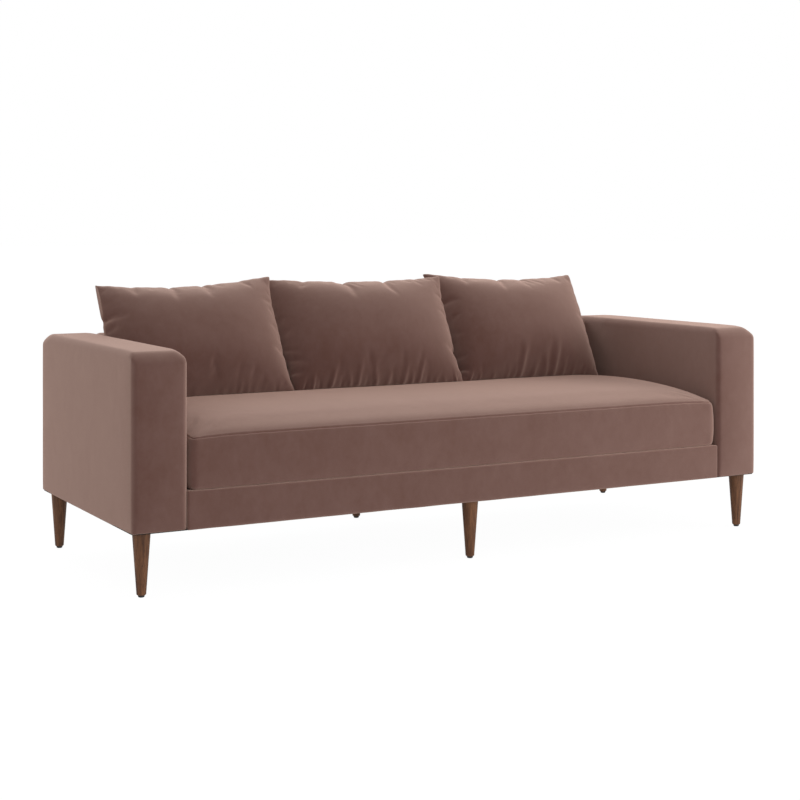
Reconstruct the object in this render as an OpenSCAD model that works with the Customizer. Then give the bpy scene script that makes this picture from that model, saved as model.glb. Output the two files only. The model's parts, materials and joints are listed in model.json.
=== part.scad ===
// Three-seat sofa with box arms, a bench seat cushion and three loose back pillows.
// Millimetres. The origin is on the floor under the sofa's centre; the front faces -Y, +Z is up.
// Left and right are as seen from the front, so left is -X.

/* [Overall] */
// Width over both arms
sofa_w = 2134; // [1900:2:2400]
// Depth from the arm fronts to the outside back
sofa_d = 826; // [800:2:900]
// Height of the frame's underside above the floor
frame_z = 175; // [130:1:220]
// Height of the arms and back above the frame's underside
body_h = 479; // [440:1:540]
// Width of an arm
arm_w = 156; // [140:2:190]
// Thickness of the back
back_t = 100; // [90:1:120]
// Height of the seat base above the frame's underside
base_h = 104; // [96:1:130]

/* [Covers and padding] */
// Thickness of the cover fabric
cover_t = 2; // [1:0.5:3]
// Thickness of the black dust cloth
dust_t = 1; // [0.5:0.1:1.5]
// Padding on the upright faces
side_foam_t = 12; // [10:1:16]
// Padding on top of the arms and back
top_foam_t = 20; // [18:1:28]
// Radius of the upright corners
upright_r = 8; // [6:1:10]
// Radius of the long top edges
long_top_r = 30; // [22:1:34]
// Radius of the short top edges
short_top_r = 18; // [14:1:22]
// Radius of the front rail's top edge
rail_top_r = 8; // [5:1:10]
// Thickness of the padding over the springs
deck_pad_t = 12; // [8:1:18]
// Thickness of the deck cloth
deck_cloth_t = 1.5; // [1:0.1:2.5]

/* [Frame boards] */
// Thickness of the arm and back boards
board_t = 20; // [18:1:25]
// Thickness of the side panels
panel_t = 5; // [4:0.5:7]
// Thickness of the seat base rails
rail_t = 20; // [18:1:24]
// Height of the centre rail
centre_rail_h = 60; // [45:1:66]
// Width of the block that carries the front centre leg
block_w = 90; // [75:1:120]
// Depth of that block
block_d = 50; // [44:1:64]

/* [Springs] */
// Number of zig-zag springs across the seat
spring_count = 12; // [8:1:14]
// Number of cross bars in a spring
spring_bars = 29; // [25:2:31]
// Width of a spring over its loops
spring_w = 52; // [46:1:60]
// Thickness of the spring wire
wire_t = 4; // [3:0.5:4.5]
// Sheet thickness of a spring clip
clip_t = 1.5; // [1:0.1:2]
// Width of a spring clip
clip_w = 14; // [10:1:18]

/* [Legs] */
// Diameter of a leg at its top
leg_top_d = 50; // [44:1:56]
// Diameter of a leg at its foot
leg_foot_d = 26; // [22:1:34]
// Distance from an arm's outer face to a leg's centre
leg_inset_x = 41; // [36:1:60]
// Distance from the front or back face to a leg's centre
leg_inset_y = 45; // [42:1:52]
// Height of a glide under a leg
glide_h = 6; // [4:0.5:8]
// Diameter of a glide
glide_d = 18; // [14:1:20]
// Diameter of a hanger bolt
hanger_d = 8; // [6:1:8]
// Depth of a hanger bolt in its leg
hanger_in_leg = 35; // [25:1:45]

/* [Seat cushion] */
// Height from the cushion's underside to its top seam
cushion_seam_h = 147; // [120:1:170]
// Rise of the cushion's crown above its top seam
cushion_crown = 48; // [30:1:55]
// Space between the cushion and each arm
cushion_side_gap = 11; // [6:1:18]
// Space between the cushion and the back
cushion_rear_gap = 6; // [5:0.5:12]
// How far the cushion's sides swell past its seams
cushion_swell = 4; // [2:0.5:6]
// Radius of the cushion's upright corners
cushion_corner_r = 34; // [24:1:50]
// Drop of the top seam at the corners
corner_drop = 6; // [0:0.5:10]
// Height of the bottom seam above the cushion's underside
bottom_seam_h = 4; // [2:0.5:8]

/* [Back pillows] */
// Width that the three pillows together leave free between the arms
pillow_slack = 10; // [0:1:40]
// Height of a pillow from ear to ear
pillow_h = 406; // [380:1:430]
// Crown of a pillow's front
pillow_front = 108; // [85:1:120]
// Crown of a pillow's rear, which is pressed against the back
pillow_rear = 27; // [20:1:28]
// How far the top edge is drawn in between its ears
top_draw = 22; // [10:1:30]
// How far a side edge is drawn in between its ears
side_draw = 18; // [8:1:22]
// How far the foot's corners are pushed in
foot_draw = 12; // [0:1:16]
// How far the bottom edge is drawn in
bottom_draw = 4; // [2:0.5:8]
// Distance from the back's face to a pillow's foot
foot_setback = 149; // [146:1:170]

/* [Hidden] */

// Curve quality of true rounds
$fn = 48;
// Length by which a cut runs past the faces it opens
overrun = 1;
// Space between soft or separate faces that rest side by side
seat_gap = 0.3;
// Radial play of a bolt in its hole
bolt_play = 0.2;

// Levels
body_bottom = frame_z + dust_t;
body_top = frame_z + body_h;
frame_top = body_top - cover_t - top_foam_t;
deck_top = frame_z + base_h;
pad_top = deck_top - deck_cloth_t;
pad_bottom = pad_top - deck_pad_t;
wire_bottom = pad_bottom - clip_t - wire_t;
rail_top = wire_bottom - clip_t;

// Faces
skin_t = cover_t + side_foam_t;
front_y = -sofa_d / 2;
back_y = sofa_d / 2;
back_face_y = back_y - back_t;
arm_x = sofa_w / 2 - arm_w / 2;
bay_w = sofa_w - 2 * arm_w - 2 * seat_gap;
rail_front_y = front_y + skin_t;
rail_rear_y = rail_front_y + rail_t;
rear_rail_y = back_face_y - seat_gap - rail_t;

// Arm and back boards
arm_board_w = arm_w - 2 * skin_t - 2 * panel_t;
arm_board_l = sofa_d - 2 * skin_t;
back_board_d = back_t - 2 * skin_t - 2 * panel_t;
back_mid_y = back_y - back_t / 2;
post_h = frame_top - body_bottom - 2 * board_t;
upright_h = post_h;
upright_count = 4;

// Outside back cover: its border to the back's edges
outside_border = 12;

// Springs
spring_start_y = rail_front_y + rail_t / 2;
spring_end_y = rear_rail_y + rail_t / 2;
spring_pitch = (spring_end_y - spring_start_y) / (spring_bars - 1);
spring_margin = 70;
spring_span = bay_w - 2 * rail_t - 2 * spring_margin;
clip_d = wire_t + 4 * clip_t;

// Fasteners
leg_bore_d = hanger_d + 2 * bolt_play;
tee_wall = 1.5;
tee_rim = 4;
tee_barrel_d = hanger_d + 2 * tee_wall;
tee_flange_d = tee_barrel_d + 2 * tee_rim;
tee_flange_t = 1.5;
tee_barrel_h = 12;
bolt_d = 8;
bolt_head_d = 13;
bolt_head_h = 5.5;
bolt_bite = 45;
washer_d = 17;
washer_t = 1.6;
bolt_z = body_bottom + board_t / 2;
arm_bolt_y_share = [-0.32, 0.24];
back_bolt_x_share = [-0.36, -0.12, 0.12, 0.36];
glide_pin_d = 3;
glide_pin_h = 12;
glide_edge = 2;
leg_edge = 2;

// Legs, left to right and front to rear
leg_x = sofa_w / 2 - leg_inset_x;
leg_y = sofa_d / 2 - leg_inset_y;

// Seat cushion
cushion_z = deck_top + seat_gap;
cushion_hw = sofa_w / 2 - arm_w - cushion_side_gap - cushion_swell;
cushion_front_y = front_y + cushion_swell;
cushion_rear_y = back_face_y - cushion_rear_gap - cushion_swell;
cushion_hd = (cushion_rear_y - cushion_front_y) / 2;
cushion_y = (cushion_rear_y + cushion_front_y) / 2;
cushion_nx = 14;
cushion_ny = 8;
belt_share = [1 / 3, 2 / 3];
core_inset = cover_t + seat_gap;
zip_l = 1500;
zip_h = 24;
zip_t = 1.2;
zip_pull_h = 30;
zip_pull_w = 8;
zip_slider_w = 10;

// Back pillows, from left to right: places as shares of the seat's half width, forward shifts as
// shares of the front crown, settling into the seat as shares of its crown, sideways spread, and
// how much of the side's and the foot's draw each left and right side takes
pillow_n = 12;
pillow_w = (sofa_w - 2 * arm_w - pillow_slack) / 3;
pillow_x_share = [-0.6808, -0.0215, 0.618];
pillow_forward_share = [0, 0.05, -0.035];
pillow_sink_share = [0.0885, -0.013, 0.056];
pillow_spread_share = [1, 1.065, 1];
pillow_side_share = [[1, 1], [-0.5, 1.1], [1, 0.6]];
pillow_foot_share = [[1.3, 1], [2.8, 1], [2.2, 1]];
pillow_roll = [1.95, -0.5, -1.24];
pillow_yaw = [-2, -4, -2.3];
pillow_lift = 3;
belly_drop_share = 0.12;
edge_power = 2.4;
crown_power = 0.62;
seam_inset = 8;
// The filling stops short of the cover's ears
ear_slack = 14;
// A pillow leans until its rear crown meets the back's top edge
lean_gap = 4.13;
lean_h = body_top - cushion_z - cushion_seam_h - cushion_crown;
pillow_lean = acos((pillow_rear + lean_gap) / norm([foot_setback, lean_h])) - atan(lean_h / foot_setback);

// A rectangle centred on the Y axis with its foot on the X axis and true round corners
module round_plate(w, h, r_top, r_bottom) {
    difference() {
        translate([-w / 2, 0]) square([w, h]);
        for (s = [-1, 1]) {
            corner_cut(s * w / 2, h, s, 1, r_top);
            if (r_bottom > 0) corner_cut(s * w / 2, 0, s, -1, r_bottom);
        }
    }
}

// What a corner at (x, y) loses when it is rounded to radius r
module corner_cut(x, y, sx, sy, r) {
    translate([x, y]) scale([sx, sy]) difference() {
        translate([-r, -r]) square([r + overrun, r + overrun]);
        translate([-r, -r]) circle(r = r);
    }
}

// An upholstered block: w across, d deep and h high, round at its upright and top edges.
// long_x is true where the block's long top edges run along X.
module padded_block(w, d, h, upright, long_r, short_r, long_x) {
    intersection() {
        translate([0, -d / 2, 0]) linear_extrude(h) round_plate(w, d, upright, upright);
        translate([0, d / 2, 0]) rotate([90, 0, 0]) linear_extrude(d)
            round_plate(w, h, long_x ? short_r : long_r, 0);
        translate([-w / 2, 0, 0]) rotate([90, 0, 90]) linear_extrude(w)
            round_plate(d, h, long_x ? long_r : short_r, 0);
    }
}

// A block whose centre is at x and y, standing on z
module board(x, y, z, size) {
    translate([x - size[0] / 2, y - size[1] / 2, z]) cube(size);
}

// Holes for the bolts that join the seat base to the arms and back
module frame_bolt_holes(d) {
    for (s = [-1, 1], share = arm_bolt_y_share) translate([s * bay_w / 2, share * sofa_d, bolt_z])
        rotate([0, s * 90, 0]) translate([0, 0, -rail_t - overrun])
            cylinder(d = d, h = rail_t + skin_t + panel_t + bolt_bite + overrun);
    for (share = back_bolt_x_share) translate([share * bay_w, back_face_y, bolt_z])
        rotate([-90, 0, 0]) translate([0, 0, -seat_gap - rail_t - overrun])
            cylinder(d = d, h = rail_t + seat_gap + skin_t + panel_t + bolt_bite + overrun);
}

// Places of the six legs
module at_legs() {
    for (x = [-leg_x, 0, leg_x], y = [-leg_y, leg_y]) translate([x, y, 0]) children();
}

// Holes and recesses for the tee nuts in the boards that carry the legs
module tee_nut_holes() {
    at_legs() {
        translate([0, 0, body_bottom - overrun]) cylinder(d = tee_barrel_d, h = board_t + 2 * overrun);
        translate([0, 0, body_bottom + board_t - tee_flange_t])
            cylinder(d = tee_flange_d, h = tee_flange_t + overrun);
    }
}

// Arms; side is -1 for the left arm and 1 for the right
module arm_post(side, rear) {
    y = (rear ? 1 : -1) * (arm_board_l / 2 - board_t / 2);
    color("burlywood") board(side * arm_x, y, body_bottom + board_t, [arm_board_w, board_t, post_h]);
}

module arm_rail(side, z) {
    color("burlywood") difference() {
        board(side * arm_x, 0, z, [arm_board_w, arm_board_l, board_t]);
        if (z == body_bottom) {
            tee_nut_holes();
            frame_bolt_holes(bolt_d + 2 * bolt_play);
        }
    }
}

module arm_panels(side) {
    color("peru") difference() {
        for (s = [-1, 1])
            board(side * arm_x + s * (arm_board_w / 2 + panel_t / 2), 0, body_bottom,
                [panel_t, arm_board_l, frame_top - body_bottom]);
        frame_bolt_holes(bolt_d + 2 * bolt_play);
    }
}

module arm_foam(side) {
    w = arm_w - 2 * cover_t;
    d = sofa_d - 2 * cover_t;
    h = body_top - cover_t - body_bottom;
    color("khaki") difference() {
        translate([side * arm_x, 0, body_bottom]) padded_block(w, d, h, upright_r - cover_t,
            long_top_r - cover_t, short_top_r - cover_t, false);
        board(side * arm_x, 0, body_bottom - overrun,
            [arm_w - 2 * skin_t, arm_board_l, frame_top - body_bottom + overrun]);
        frame_bolt_holes(bolt_d + 2 * bolt_play);
    }
}

module arm_cover(side) {
    w = arm_w - 2 * cover_t;
    d = sofa_d - 2 * cover_t;
    h = body_top - cover_t - body_bottom;
    color("rosybrown") difference() {
        translate([side * arm_x, 0, body_bottom])
            padded_block(arm_w, sofa_d, body_top - body_bottom, upright_r, long_top_r, short_top_r, false);
        translate([side * arm_x, 0, body_bottom - overrun]) padded_block(w, d, h + overrun,
            upright_r - cover_t, long_top_r - cover_t, short_top_r - cover_t, false);
        frame_bolt_holes(bolt_d + 2 * bolt_play);
    }
}

module left_arm_front_post() { arm_post(-1, false); }
module left_arm_rear_post() { arm_post(-1, true); }
module left_arm_top_rail() { arm_rail(-1, frame_top - board_t); }
module left_arm_bottom_rail() { arm_rail(-1, body_bottom); }
module left_arm_panels() { arm_panels(-1); }
module left_arm_foam() { arm_foam(-1); }
module left_arm_cover() { arm_cover(-1); }
module right_arm_front_post() { arm_post(1, false); }
module right_arm_rear_post() { arm_post(1, true); }
module right_arm_top_rail() { arm_rail(1, frame_top - board_t); }
module right_arm_bottom_rail() { arm_rail(1, body_bottom); }
module right_arm_panels() { arm_panels(1); }
module right_arm_foam() { arm_foam(1); }
module right_arm_cover() { arm_cover(1); }

// Back
module back_rail(z) {
    color("burlywood") difference() {
        board(0, back_mid_y, z, [bay_w - 2 * skin_t, back_board_d, board_t]);
        if (z == body_bottom) {
            tee_nut_holes();
            frame_bolt_holes(bolt_d + 2 * bolt_play);
        }
    }
}

module back_top_rail() { back_rail(frame_top - board_t); }
module back_bottom_rail() { back_rail(body_bottom); }

module back_upright(i) {
    span = bay_w - 2 * skin_t - board_t;
    x = span * (i / (upright_count - 1) - 1 / 2);
    color("burlywood") board(x, back_mid_y, body_bottom + board_t, [board_t, back_board_d, upright_h]);
}

module back_upright_1() { back_upright(0); }
module back_upright_2() { back_upright(1); }
module back_upright_3() { back_upright(2); }
module back_upright_4() { back_upright(3); }

module back_panels() {
    color("peru") difference() {
        for (s = [-1, 1])
            board(0, back_mid_y + s * (back_board_d / 2 + panel_t / 2), body_bottom,
                [bay_w - 2 * skin_t, panel_t, frame_top - body_bottom]);
        frame_bolt_holes(bolt_d + 2 * bolt_play);
    }
}

module back_block(inset, extra) {
    h = body_top - inset - body_bottom;
    translate([0, back_mid_y, body_bottom - extra]) padded_block(bay_w - 2 * inset, back_t - 2 * inset,
        h + extra, upright_r - inset, short_top_r - inset, short_top_r - inset, true);
}

module back_foam() {
    color("khaki") difference() {
        back_block(cover_t, 0);
        board(0, back_mid_y, body_bottom - overrun,
            [bay_w - 2 * skin_t, back_t - 2 * skin_t, frame_top - body_bottom + overrun]);
        frame_bolt_holes(bolt_d + 2 * bolt_play);
    }
}

// The part of the back's rear wall that the outside back cover fills
module outside_window(gap, extra) {
    w = bay_w - 2 * outside_border - 2 * gap;
    h = body_h - dust_t - 2 * outside_border - short_top_r - 2 * gap;
    board(0, back_y - cover_t / 2, body_bottom + outside_border + gap, [w, cover_t + 2 * extra, h]);
}

module back_cover() {
    color("rosybrown") difference() {
        back_block(0, 0);
        back_block(cover_t, overrun);
        outside_window(0, overrun);
        frame_bolt_holes(bolt_d + 2 * bolt_play);
    }
}

module outside_back_cover() { color("rosybrown") outside_window(seat_gap, 0); }

// Seat base
module seat_rail(x, y, size) {
    color("burlywood") difference() {
        board(x, y, body_bottom, size);
        frame_bolt_holes(bolt_d + 2 * bolt_play);
    }
}

module seat_front_rail() {
    seat_rail(0, rail_front_y + rail_t / 2, [bay_w, rail_t, rail_top - body_bottom]);
}

module seat_rear_rail() {
    seat_rail(0, rear_rail_y + rail_t / 2, [bay_w, rail_t, rail_top - body_bottom]);
}

module side_rail(side) {
    seat_rail(side * (bay_w / 2 - rail_t / 2), (rail_rear_y + rear_rail_y) / 2,
        [rail_t, rear_rail_y - rail_rear_y, rail_top - body_bottom]);
}

module seat_left_rail() { side_rail(-1); }
module seat_right_rail() { side_rail(1); }

module seat_centre_rail() {
    start = rail_rear_y + block_d;
    color("burlywood") board(0, (start + rear_rail_y) / 2, body_bottom,
        [rail_t, rear_rail_y - start, centre_rail_h]);
}

module leg_block() {
    color("burlywood") difference() {
        board(0, rail_rear_y + block_d / 2, body_bottom, [block_w, block_d, board_t]);
        tee_nut_holes();
    }
}

// One zig-zag spring as a flat path: straight cross bars joined by half loops in turn
module spring_path() {
    bar = spring_w - wire_t - spring_pitch;
    for (i = [0 : spring_bars - 1]) translate([0, i * spring_pitch]) {
        translate([-bar / 2, -wire_t / 2]) square([bar, wire_t]);
        if (i < spring_bars - 1) {
            s = i % 2 == 0 ? 1 : -1;
            translate([s * bar / 2, spring_pitch / 2]) intersection() {
                difference() {
                    circle(d = spring_pitch + wire_t);
                    circle(d = spring_pitch - wire_t);
                }
                translate([s > 0 ? 0 : -spring_pitch, -spring_pitch])
                    square([spring_pitch, 2 * spring_pitch]);
            }
        }
    }
}

function spring_x(i) = spring_span * (i / (spring_count - 1) - 1 / 2);

module seat_springs() {
    color("dimgray") for (i = [0 : spring_count - 1])
        translate([spring_x(i), spring_start_y, wire_bottom]) linear_extrude(wire_t) spring_path();
}

// A clip folds over the end bar of a spring and is nailed to its rail
module spring_clip() {
    difference() {
        translate([-clip_w / 2, -clip_d / 2, 0]) cube([clip_w, clip_d, wire_t + 2 * clip_t]);
        translate([-clip_w / 2 - overrun, -wire_t / 2, clip_t])
            cube([clip_w + 2 * overrun, wire_t, wire_t]);
    }
}

module spring_clips() {
    color("silver") for (i = [0 : spring_count - 1], y = [spring_start_y, spring_end_y])
        translate([spring_x(i), y, rail_top]) spring_clip();
}

module deck_pad() {
    color("khaki") board(0, (rail_rear_y + back_face_y - seat_gap) / 2, pad_bottom,
        [bay_w, back_face_y - seat_gap - rail_rear_y, deck_pad_t]);
}

module deck_cloth() {
    color("dimgray") board(0, (rail_rear_y + back_face_y - seat_gap) / 2, pad_top,
        [bay_w, back_face_y - seat_gap - rail_rear_y, deck_cloth_t]);
}

// Outline of the front rail's skin from its front face to its rear face, seen from the left end
module rail_skin(inset) {
    difference() {
        translate([front_y + inset, body_bottom])
            square([rail_rear_y - front_y - inset, deck_top - inset - body_bottom]);
        corner_cut(front_y + inset, deck_top - inset, -1, 1, rail_top_r - inset);
    }
}

module along_bay() {
    translate([-bay_w / 2, 0, 0]) rotate([90, 0, 90]) linear_extrude(bay_w) children();
}

module front_rail_foam() {
    color("khaki") along_bay() difference() {
        rail_skin(cover_t);
        translate([rail_front_y, body_bottom - overrun])
            square([rail_t + overrun, pad_bottom - body_bottom + overrun]);
    }
}

module front_rail_cover() {
    color("rosybrown") along_bay() difference() {
        rail_skin(0);
        translate([0, -overrun]) rail_skin(cover_t);
        rail_skin(cover_t);
        translate([rail_rear_y - overrun, body_bottom]) square([2 * overrun, pad_top - body_bottom]);
    }
}

module dust_cloth() {
    color("black") difference() {
        board(0, 0, frame_z, [sofa_w - 2 * cover_t, sofa_d - 2 * cover_t, dust_t]);
        at_legs() translate([0, 0, frame_z - overrun]) cylinder(d = leg_bore_d, h = dust_t + 2 * overrun);
    }
}

// Legs
module leg(x, y) {
    h = frame_z - glide_h;
    color("saddlebrown") translate([x, y, glide_h]) difference() {
        union() {
            cylinder(d1 = leg_foot_d - 2 * leg_edge, d2 = leg_foot_d, h = leg_edge);
            translate([0, 0, leg_edge]) cylinder(d1 = leg_foot_d, d2 = leg_top_d, h = h - leg_edge);
        }
        translate([0, 0, h - hanger_in_leg]) cylinder(d = leg_bore_d, h = hanger_in_leg + overrun);
        translate([0, 0, -overrun])
            cylinder(d = glide_pin_d + 2 * bolt_play, h = glide_pin_h + overrun);
    }
}

module front_left_leg() { leg(-leg_x, -leg_y); }
module front_centre_leg() { leg(0, -leg_y); }
module front_right_leg() { leg(leg_x, -leg_y); }
module rear_left_leg() { leg(-leg_x, leg_y); }
module rear_centre_leg() { leg(0, leg_y); }
module rear_right_leg() { leg(leg_x, leg_y); }

module hanger_bolts() {
    color("silver") at_legs() translate([0, 0, frame_z - hanger_in_leg])
        cylinder(d = hanger_d, h = hanger_in_leg + dust_t + board_t);
}

module tee_nuts() {
    top = body_bottom + board_t;
    color("gainsboro") at_legs() difference() {
        union() {
            translate([0, 0, top - tee_flange_t]) cylinder(d = tee_flange_d - 2 * bolt_play, h = tee_flange_t);
            translate([0, 0, top - tee_barrel_h])
                cylinder(d = tee_barrel_d - 2 * bolt_play, h = tee_barrel_h);
        }
        translate([0, 0, top - tee_barrel_h - overrun])
            cylinder(d = leg_bore_d, h = tee_barrel_h + 2 * overrun);
    }
}

// A glide is a low dome with a flat to stand on and a pin in the leg's foot
module leg_glides() {
    color("black") at_legs() {
        cylinder(d1 = glide_d - 2 * glide_edge, d2 = glide_d, h = glide_edge);
        translate([0, 0, glide_edge]) cylinder(d = glide_d, h = glide_h - glide_edge);
        translate([0, 0, glide_h]) cylinder(d = glide_pin_d, h = glide_pin_h - leg_edge);
    }
}

// Bolts that join the seat base to the arms and back
module at_frame_bolts() {
    for (s = [-1, 1], share = arm_bolt_y_share)
        translate([s * (bay_w / 2 - rail_t), share * sofa_d, bolt_z]) rotate([0, s * 90, 0]) children();
    for (share = back_bolt_x_share)
        translate([share * bay_w, rear_rail_y, bolt_z]) rotate([-90, 0, 0]) children();
}

module frame_bolts() {
    shank = rail_t + seat_gap + skin_t + panel_t + bolt_bite - overrun;
    color("silver") at_frame_bolts() {
        translate([0, 0, -washer_t]) cylinder(d = bolt_d, h = washer_t + shank);
        translate([0, 0, -washer_t - bolt_head_h]) cylinder(d = bolt_head_d, h = bolt_head_h, $fn = 6);
    }
}

module frame_washers() {
    color("gainsboro") at_frame_bolts() difference() {
        translate([0, 0, -washer_t]) cylinder(d = washer_d, h = washer_t);
        translate([0, 0, -washer_t - overrun])
            cylinder(d = bolt_d + 2 * bolt_play, h = washer_t + 2 * overrun);
    }
}

// Soft forms. Grid lines lie closer together near the seams.
function grid_share(i, n) = sin(90 * (2 * i / n - 1));
function quad_faces(a, b, c, d) = [[a, b, c], [a, c, d]];

// Seat cushion: share of the crown at u across and v along the depth
function seat_crown_share(u, v) = pow(max(0, 1 - pow(u, 14)), 0.4) * sqrt(max(0, 1 - v * v));
function seam_drop_share(u, v) = pow(u * v, 12);

// Plan of the cushion: a rectangle whose corners are rounded to radius r
function round_in(a, half, r) = max(0, (abs(a) * half - (half - r)) / r);
function seat_plan(u, v, hw, hd, r) =
    let (dx = round_in(u, hw, r), dy = round_in(v, hd, r))
    dx > 0 && dy > 0
        ? [sign(u) * (hw - r + r * dx * sqrt(1 - dy * dy / 2)),
           sign(v) * (hd - r + r * dy * sqrt(1 - dx * dx / 2))]
        : [u * hw, v * hd];

// Grid place of the k-th point round the rim
function rim(k, nx, ny) =
    k < nx ? [k, 0]
    : k < nx + ny ? [nx, k - nx]
    : k < 2 * nx + ny ? [2 * nx + ny - k, ny]
    : [0, 2 * (nx + ny) - k];

// A boxed cushion, smaller all round by inset
module boxed_cushion(inset) {
    nx = cushion_nx;
    ny = cushion_ny;
    hw = cushion_hw - inset;
    hd = cushion_hd - inset;
    r = cushion_corner_r - inset;
    seam_z = cushion_seam_h - inset;
    rims = 2 * (nx + ny);
    grid = (nx + 1) * (ny + 1);
    us = [for (i = [0 : nx]) grid_share(i, nx)];
    vs = [for (j = [0 : ny]) grid_share(j, ny)];
    top = [for (i = [0 : nx], j = [0 : ny]) let (p = seat_plan(us[i], vs[j], hw, hd, r))
        [p[0], p[1], seam_z + cushion_crown * seat_crown_share(us[i], vs[j])
            - corner_drop * seam_drop_share(us[i], vs[j])]];
    foot = [for (i = [0 : nx], j = [0 : ny]) let (p = seat_plan(us[i], vs[j], hw, hd, r),
        edge = i == 0 || i == nx || j == 0 || j == ny)
        [p[0], p[1], inset + (edge ? bottom_seam_h : 0)]];
    belt = [for (t = belt_share, k = [0 : rims - 1]) let (g = rim(k, nx, ny),
        p = seat_plan(us[g[0]], vs[g[1]], hw + cushion_swell, hd + cushion_swell, r + cushion_swell),
        high = top[g[0] * (ny + 1) + g[1]][2])
        [p[0], p[1], inset + bottom_seam_h + (high - inset - bottom_seam_h) * t]];
    cells = [for (i = [0 : nx - 1], j = [0 : ny - 1]) let (a = i * (ny + 1) + j)
        [a, a + 1, a + ny + 2, a + ny + 1]];
    rim_at = [for (k = [0 : rims - 1]) let (g = rim(k, nx, ny)) g[0] * (ny + 1) + g[1]];
    rows = [
        [for (a = rim_at) grid + a],
        [for (k = [0 : rims - 1]) 2 * grid + k],
        [for (k = [0 : rims - 1]) 2 * grid + rims + k],
        rim_at
    ];
    faces = concat(
        [for (c = cells) each quad_faces(c[0], c[1], c[2], c[3])],
        [for (c = cells) each quad_faces(grid + c[3], grid + c[2], grid + c[1], grid + c[0])],
        [for (l = [0 : 2], k = [0 : rims - 1]) let (m = (k + 1) % rims)
            each quad_faces(rows[l][k], rows[l + 1][k], rows[l + 1][m], rows[l][m])]
    );
    polyhedron(concat(top, foot, belt), faces);
}

module seat_cushion_cover() {
    color("rosybrown") translate([0, cushion_y, cushion_z]) difference() {
        boxed_cushion(0);
        boxed_cushion(cover_t);
    }
}

module seat_cushion_core() {
    color("khaki") translate([0, cushion_y, cushion_z]) boxed_cushion(core_inset);
}

module seat_cushion_zip() {
    z = cushion_z + cushion_seam_h / 2;
    y = cushion_rear_y + cushion_swell + seat_gap;
    color("dimgray") {
        board(0, y + zip_t / 2, z - zip_h / 2, [zip_l, zip_t, zip_h]);
        translate([zip_l / 2 - zip_h, 0, 0]) {
            board(0, y + zip_t, z - zip_slider_w / 2, [zip_slider_w, 2 * zip_t, zip_slider_w]);
            board(0, y + 9 / 4 * zip_t, z - zip_pull_h + zip_slider_w / 2,
                [zip_pull_w, 3 / 2 * zip_t, zip_pull_h]);
        }
    }
}

// Height of the seat's top above the floor at a place on it
function seat_top(x, y) = cushion_z + cushion_seam_h
    + cushion_crown * seat_crown_share(x / cushion_hw, (y - cushion_y) / cushion_hd);

// Back pillows: share of the crown at u across and v up the pillow
function crown_arch(a) = max(0, 1 - pow(abs(a), edge_power));
function pillow_share(u, v) =
    pow(crown_arch(u) * crown_arch(v + belly_drop_share * (1 - v * v)), crown_power);
function side_pull(p, u, v) =
    let (side = u > 0 ? 1 : 0)
    side_draw * pillow_side_share[p][side] * (1 - pow(v, 4))
        + foot_draw * pillow_foot_share[p][side] * pow((1 - v) / 2, 2);
function pillow_point(p, u, v, rise, inset) = [
    u * (pillow_spread_share[p] * pillow_w / 2 - inset) - u * abs(u) * side_pull(p, u, v),
    v * (pillow_h / 2 - inset) - (v > 0 ? top_draw : bottom_draw) * v * abs(v) * (1 - u * u),
    rise * pillow_share(u, v)
];

// Knife-edge pillow p: a front and a rear crown that meet in one seam
module knife_edge_pillow(p, inset, wall) {
    n = pillow_n;
    row = n + 1;
    at = [for (i = [0 : n]) grid_share(i, n)];
    front = [for (i = [0 : n], j = [0 : n]) pillow_point(p, at[i], at[j], pillow_front - wall, inset)];
    rear = [for (i = [1 : n - 1], j = [1 : n - 1])
        pillow_point(p, at[i], at[j], wall - pillow_rear, inset)];
    edge = function (i, j) i == 0 || i == n || j == 0 || j == n;
    rear_at = function (i, j) edge(i, j) ? i * row + j : row * row + (i - 1) * (n - 1) + j - 1;
    faces = concat(
        [for (i = [0 : n - 1], j = [0 : n - 1]) let (a = i * row + j)
            each quad_faces(a, a + 1, a + row + 1, a + row)],
        [for (i = [0 : n - 1], j = [0 : n - 1])
            each quad_faces(rear_at(i + 1, j), rear_at(i + 1, j + 1), rear_at(i, j + 1), rear_at(i, j))]
    );
    polyhedron(concat(front, rear), faces);
}

// Stands pillow p on the seat, leaning on the back
module place_pillow(p) {
    x = pillow_x_share[p] * (sofa_w / 2 - arm_w);
    y = back_face_y - foot_setback - pillow_forward_share[p] * pillow_front;
    translate([x, y, seat_top(x, y) + pillow_lift - pillow_sink_share[p] * cushion_crown])
        rotate([0, 0, pillow_yaw[p]]) rotate([90 - pillow_lean, 0, 0]) rotate([0, 0, pillow_roll[p]])
            translate([0, pillow_h / 2, 0]) children();
}

module pillow_cover(p) {
    color("rosybrown") place_pillow(p) difference() {
        knife_edge_pillow(p, 0, 0);
        knife_edge_pillow(p, seam_inset, cover_t);
    }
}

module pillow_insert(p) {
    color("ivory") place_pillow(p) knife_edge_pillow(p, ear_slack, core_inset);
}

module left_pillow_insert() { pillow_insert(0); }
module left_pillow_cover() { pillow_cover(0); }
module centre_pillow_insert() { pillow_insert(1); }
module centre_pillow_cover() { pillow_cover(1); }
module right_pillow_insert() { pillow_insert(2); }
module right_pillow_cover() { pillow_cover(2); }

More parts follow.
